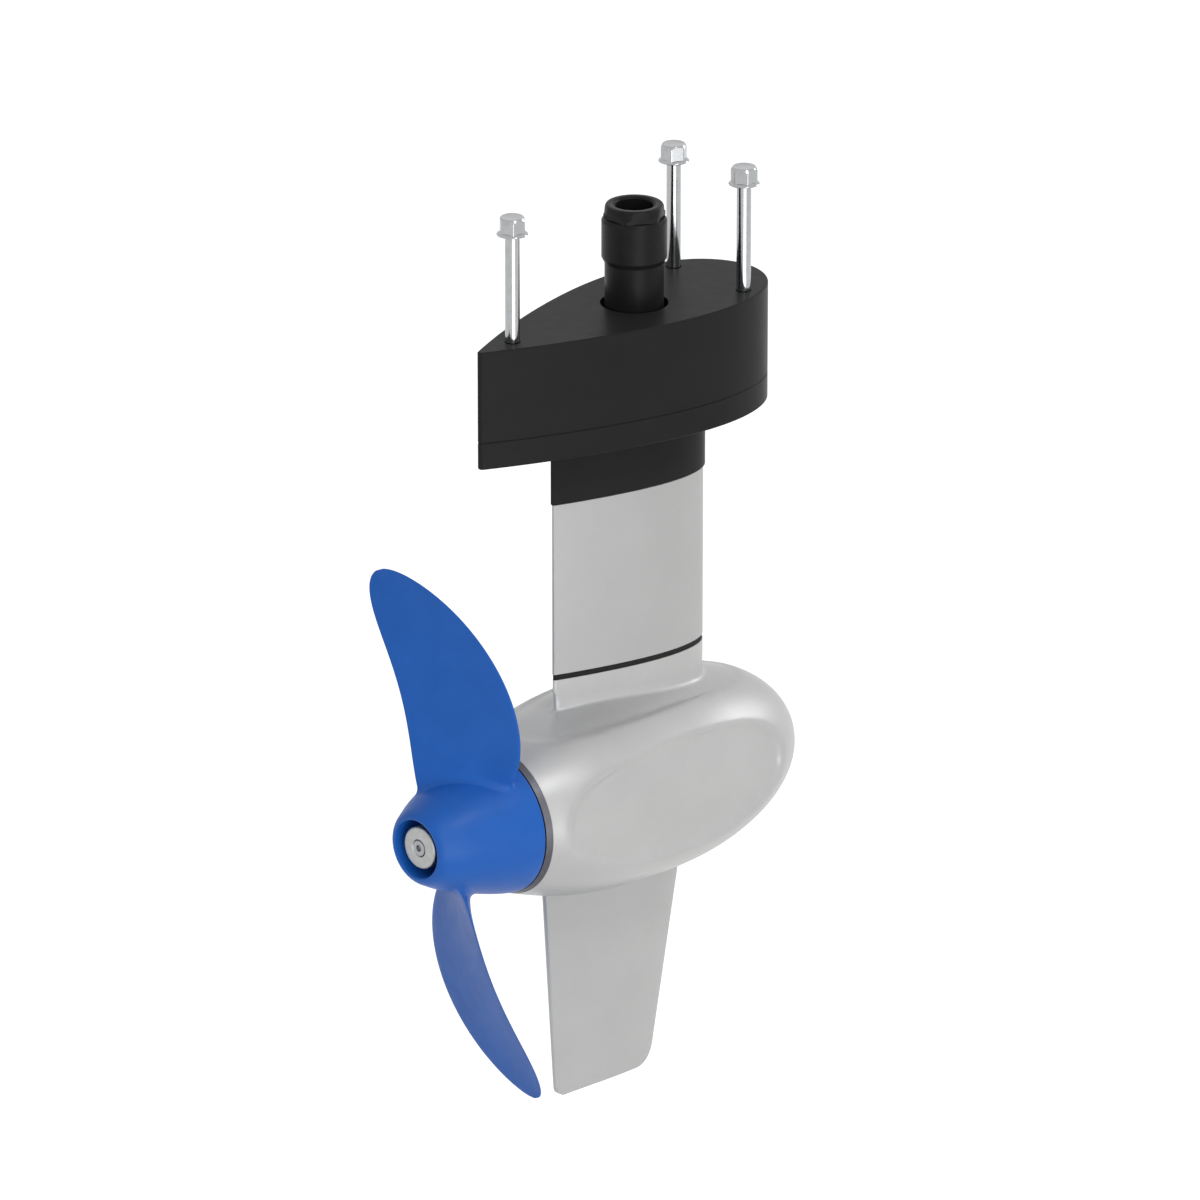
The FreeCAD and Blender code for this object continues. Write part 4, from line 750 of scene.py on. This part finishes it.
def modelBlade(look):
    bpy.ops.object.select_all(action="DESELECT")
    bpy.ops.mesh.primitive_grid_add(x_subdivisions=look["around"], y_subdivisions=look["rows"], size=1.0)
    blade = bpy.context.object
    applyPlace(blade)
    sink = look["rowSink"]
    inner, outer = look["rowPowers"]
    for vertex in blade.data.vertices:
        around = vertex.co.x + 0.5
        row = vertex.co.y + 0.5
        # rows crowd at the fillet and at the tip; the first lies just under the hub's surface
        rise = -sink + (1 + sink) * math.sin(0.5 * math.pi * row ** inner) ** outer
        vertex.co = bladePoint(look, around, rise)
    startEdit(blade)
    bpy.ops.mesh.remove_doubles(threshold=closeBy["merge"] / 1000)
    bpy.ops.mesh.select_all(action="DESELECT")
    bpy.ops.mesh.select_mode(type="EDGE")
    bpy.ops.mesh.select_non_manifold(extend=False, use_wire=False, use_multi_face=False,
                                     use_non_contiguous=False, use_verts=False)
    bpy.ops.mesh.edge_face_add()
    bpy.ops.mesh.select_all(action="SELECT")
    bpy.ops.mesh.normals_make_consistent(inside=False)
    endEdit()
    return blade


def modelHub(look):
    # outside, from the front edge to the rim
    edge = look["edge"]
    middle = edge * look["edgeRound"]
    front = look["outline"][0]
    stations = [(0.0, front - edge), (middle, front - middle)]
    steps = look["outsideSteps"]
    for index in range(steps + 1):
        aft = edge + (look["outlineEnd"] - edge) * index / steps
        stations.append((aft, lawAt(look["outline"], aft)))
    stations += look["rim"]
    # recess, bore, boss and pocket
    floor = look["recessFloor"]
    bend = look["recessRound"]
    bevel = look["boreEdge"]
    stations += [(floor + bend, look["recessRadius"]), (floor, look["recessRadius"] - bend)]
    stations += [(floor, look["boreRadius"] + bevel), (floor - bevel, look["boreRadius"])]
    stations += [(look["bossStart"], look["boreRadius"]), (look["bossStart"], look["bossRadius"])]
    stations.append((look["pocketDepth"], look["bossRadius"]))
    steps = look["insideSteps"]
    for index in range(steps + 1):
        aft = look["pocketDepth"] * (1 - index / steps)
        stations.append((aft, lawAt(look["outline"], aft) - look["wall"]))
    stations.append(stations[0])
    line = [(look["faceX"] - aft, radius) for aft, radius in stations]
    return latheForm("bluePropeller", line, look["sides"], metres(0, 0, axisZ))


def modelRib(look, angle):
    # flat rib between boss and wall, upright until it is turned to its angle
    low = look["bossRadius"] - look["ribSink"]
    high = look["outline"][0] - look["wall"] / 2
    start = look["faceX"] - look["pocketDepth"] - look["ribSink"]
    end = look["faceX"] - look["bossStart"]
    bpy.ops.object.select_all(action="DESELECT")
    bpy.ops.mesh.primitive_cube_add(size=1.0)
    rib = bpy.context.object
    rib.scale = ((end - start) / 1000, look["ribWidth"] / 1000, (high - low) / 1000)
    rib.location = metres((start + end) / 2, 0, (low + high) / 2)
    applyPlace(rib)
    startEdit(rib)
    # the rib's outer edge follows the hub's wall
    middle = (low + high) / 2000
    near = closeBy["corner"] / 1000
    for place in (start, end):
        selectPoints(rib, lambda corner: corner.z > middle and abs(corner.x - place / 1000) < near)
        drop = hubRadius(look, place) - look["outline"][0]
        bpy.ops.transform.translate(value=(0.0, 0.0, drop / 1000))
    bpy.ops.mesh.select_all(action="SELECT")
    bpy.ops.transform.rotate(value=-angle, orient_axis="X", center_override=(0.0, 0.0, 0.0))
    bpy.ops.transform.translate(value=(0.0, 0.0, axisZ / 1000))
    endEdit()
    return rib


def modelPropeller(look):
    hub = modelHub(look)
    parts = [modelRib(look, 2 * math.pi * index / look["ribs"]) for index in range(look["ribs"])]
    for index in range(look["blades"]):
        blade = modelBlade(look)
        startEdit(blade)
        bpy.ops.transform.rotate(value=2 * math.pi * index / look["blades"], orient_axis="X",
                                 center_override=metres(0, 0, axisZ))
        endEdit()
        parts.append(blade)
    joinPieces(hub, parts)
    print("propeller modelled:", len(hub.data.polygons), "faces")
    return hub


propeller = modelPropeller(propellerLook)
finishPiece(propeller, "bluePropeller", "screw", "propeller_blue", ["propeller"], 40.0)


# Hull bolts: cold-formed flange heads with a shallow dish on top

boltLook = {
    "places": ((-92.0, 0.0, 21.0), (57.0, 27.3, 4.0), (57.0, -27.3, 32.0)),   # x, y, turn of the hexagon
    "across": 13.2, "cornerRound": 0.35,
    "hexStart": 61.9, "top": 71.4, "spare": 1.0,
    "sides": 64,
    # lathe stations: height, radius
    "shank": ((-63.0, hair), (-63.0, 2.6), (-62.2, 3.3), (-50.0, 3.3), (-49.8, 3.8), (0.2, 3.8),
              (0.4, 4.0), (60.8, 4.0), (61.2, 4.4), (61.2, 8.2), (61.35, 8.5), (61.6, 8.6),
              (61.9, 8.5), (62.2, 8.2), (63.0, 7.0), (63.4, 6.2), (63.8, hair)),
    "crown": ((61.0, hair), (61.0, 8.6), (68.4, 8.6), (69.6, 7.4), (70.7, 6.7), (71.15, 6.45),
              (71.38, 6.1), (71.4, 5.6), (71.2, 5.1), (71.1, 4.4), (71.1, hair)),
}


def hexagonBar(across, cornerRound, start, end, turn):
    # upright hexagon bar on the z axis with rounded corners
    corner = across / math.sqrt(3.0)
    bpy.ops.object.select_all(action="DESELECT")
    bpy.ops.mesh.primitive_cylinder_add(vertices=6, radius=corner / 1000, depth=(end - start) / 1000,
                                        location=metres(0, 0, (start + end) / 2),
                                        rotation=(0.0, 0.0, math.radians(turn)))
    bar = bpy.context.object
    applyPlace(bar)
    startEdit(bar, "EDGE")
    bpy.ops.mesh.select_all(action="DESELECT")
    bpy.ops.object.mode_set(mode="OBJECT")
    for edge in bar.data.edges:
        low, high = (bar.data.vertices[index].co.z for index in edge.vertices)
        edge.select = abs(low - high) > closeBy["corner"] / 1000
    bpy.ops.object.mode_set(mode="EDIT")
    bpy.ops.mesh.bevel(offset=cornerRound / 1000, segments=4, affect="EDGES")
    endEdit()
    return bar


def modelBolts(look):
    bolts = []
    for x, y, turn in look["places"]:
        bolt = latheForm("flangeBolt", look["shank"], look["sides"], along="z")
        head = hexagonBar(look["across"], look["cornerRound"], look["hexStart"],
                          look["top"] + look["spare"], turn)
        crown = latheForm("crown", look["crown"], look["sides"], along="z")
        combine(head, crown, "INTERSECT")
        combine(bolt, head, "UNION")
        startEdit(bolt)
        bpy.ops.transform.translate(value=metres(x, y, 0))
        endEdit()
        bolts.append(bolt)
    joinPieces(bolts[0], bolts[1:])
    print("bolts formed:", len(bolts[0].data.polygons), "faces")
    return bolts[0]


bolts = modelBolts(boltLook)
finishPiece(bolts, "flangeBolts", "housing", "bolt_steel", ["hull_bolts"], 30.0)


# Cap of the cable gland: the conical top leaves arcs on the hexagon's flats

capLook = {
    "across": 31.0, "cornerRound": 1.6, "turn": 0.0,
    "start": 49.6, "top": 57.0, "spare": 1.0,
    "sides": 128,
    "crown": ((48.0, hair), (48.0, 18.2), (50.6, 18.2), (52.4, 16.5), (55.8, 16.1), (56.5, 15.7),
              (56.9, 15.2), (57.0, 14.6), (57.0, 12.2), (56.6, 11.5), (55.8, 11.0), (55.8, hair)),
    "skirt": (14.9, 42.3),       # radius, lower end
    "bore": 10.5,
}


def modelCap(look):
    sides = look["sides"]
    spare = look["spare"]
    cap = hexagonBar(look["across"], look["cornerRound"], look["start"],
                     look["top"] + spare, look["turn"])
    combine(cap, latheForm("crown", look["crown"], sides, along="z"), "INTERSECT")
    radius, start = look["skirt"]
    combine(cap, roundBar(radius, start, look["start"] + spare, "z", sides=sides), "UNION")
    combine(cap, roundBar(look["bore"], start - spare, look["top"] + 2 * spare, "z", sides=sides))
    print("gland cap formed:", len(cap.data.polygons), "faces")
    return cap


cap = modelCap(capLook)
finishPiece(cap, "glandCap", "housing", "gland_plastic", ["gland_cap"], 30.0)


# Anode disc and its screw at the end of the hub

anodeLook = {
    # lathe stations: place along the axis, radius
    "disc": ((-158.2, 2.5), (-158.2, 11.6), (-158.6, 12.0), (-162.9, 12.0), (-163.5, 11.65),
             (-163.85, 11.1), (-164.0, 10.4), (-164.0, 5.35), (-163.85, 5.1), (-163.5, 4.9),
             (-161.3, 2.5), (-158.2, 2.5)),
    "screw": ((-163.95, hair), (-163.95, 4.0), (-163.85, 4.3), (-163.6, 4.4), (-161.35, 2.4),
              (-147.95, 2.4), (-147.95, hair)),
    "discSides": 96, "screwSides": 64, "leadSides": 48,
    "cutFrom": -165.0,           # just aft of the disc's face
    "socket": (3.5, -162.0),     # across the flats, bottom
    "socketLead": (2.05, -163.7),            # radius, bottom
}


def modelAnode(look):
    disc = latheForm("anodeDisc", look["disc"], look["discSides"])
    screw = latheForm("anodeScrew", look["screw"], look["screwSides"])
    for piece in (disc, screw):
        startEdit(piece)
        bpy.ops.transform.translate(value=metres(0, 0, axisZ))
        endEdit()
    across, bottom = look["socket"]
    combine(screw, roundBar(across / math.sqrt(3.0), look["cutFrom"], bottom, sides=6))
    radius, bottom = look["socketLead"]
    combine(screw, roundBar(radius, look["cutFrom"], bottom, sides=look["leadSides"]))
    print("anode formed:", len(disc.data.polygons) + len(screw.data.polygons), "faces")
    return disc, screw


disc, screw = modelAnode(anodeLook)
finishPiece(disc, "anodeDisc", "screw", "anode_metal", ["anode"], 30.0)
finishPiece(screw, "anodeScrew", "screw", "stainless", ["anode_screw"], 30.0)
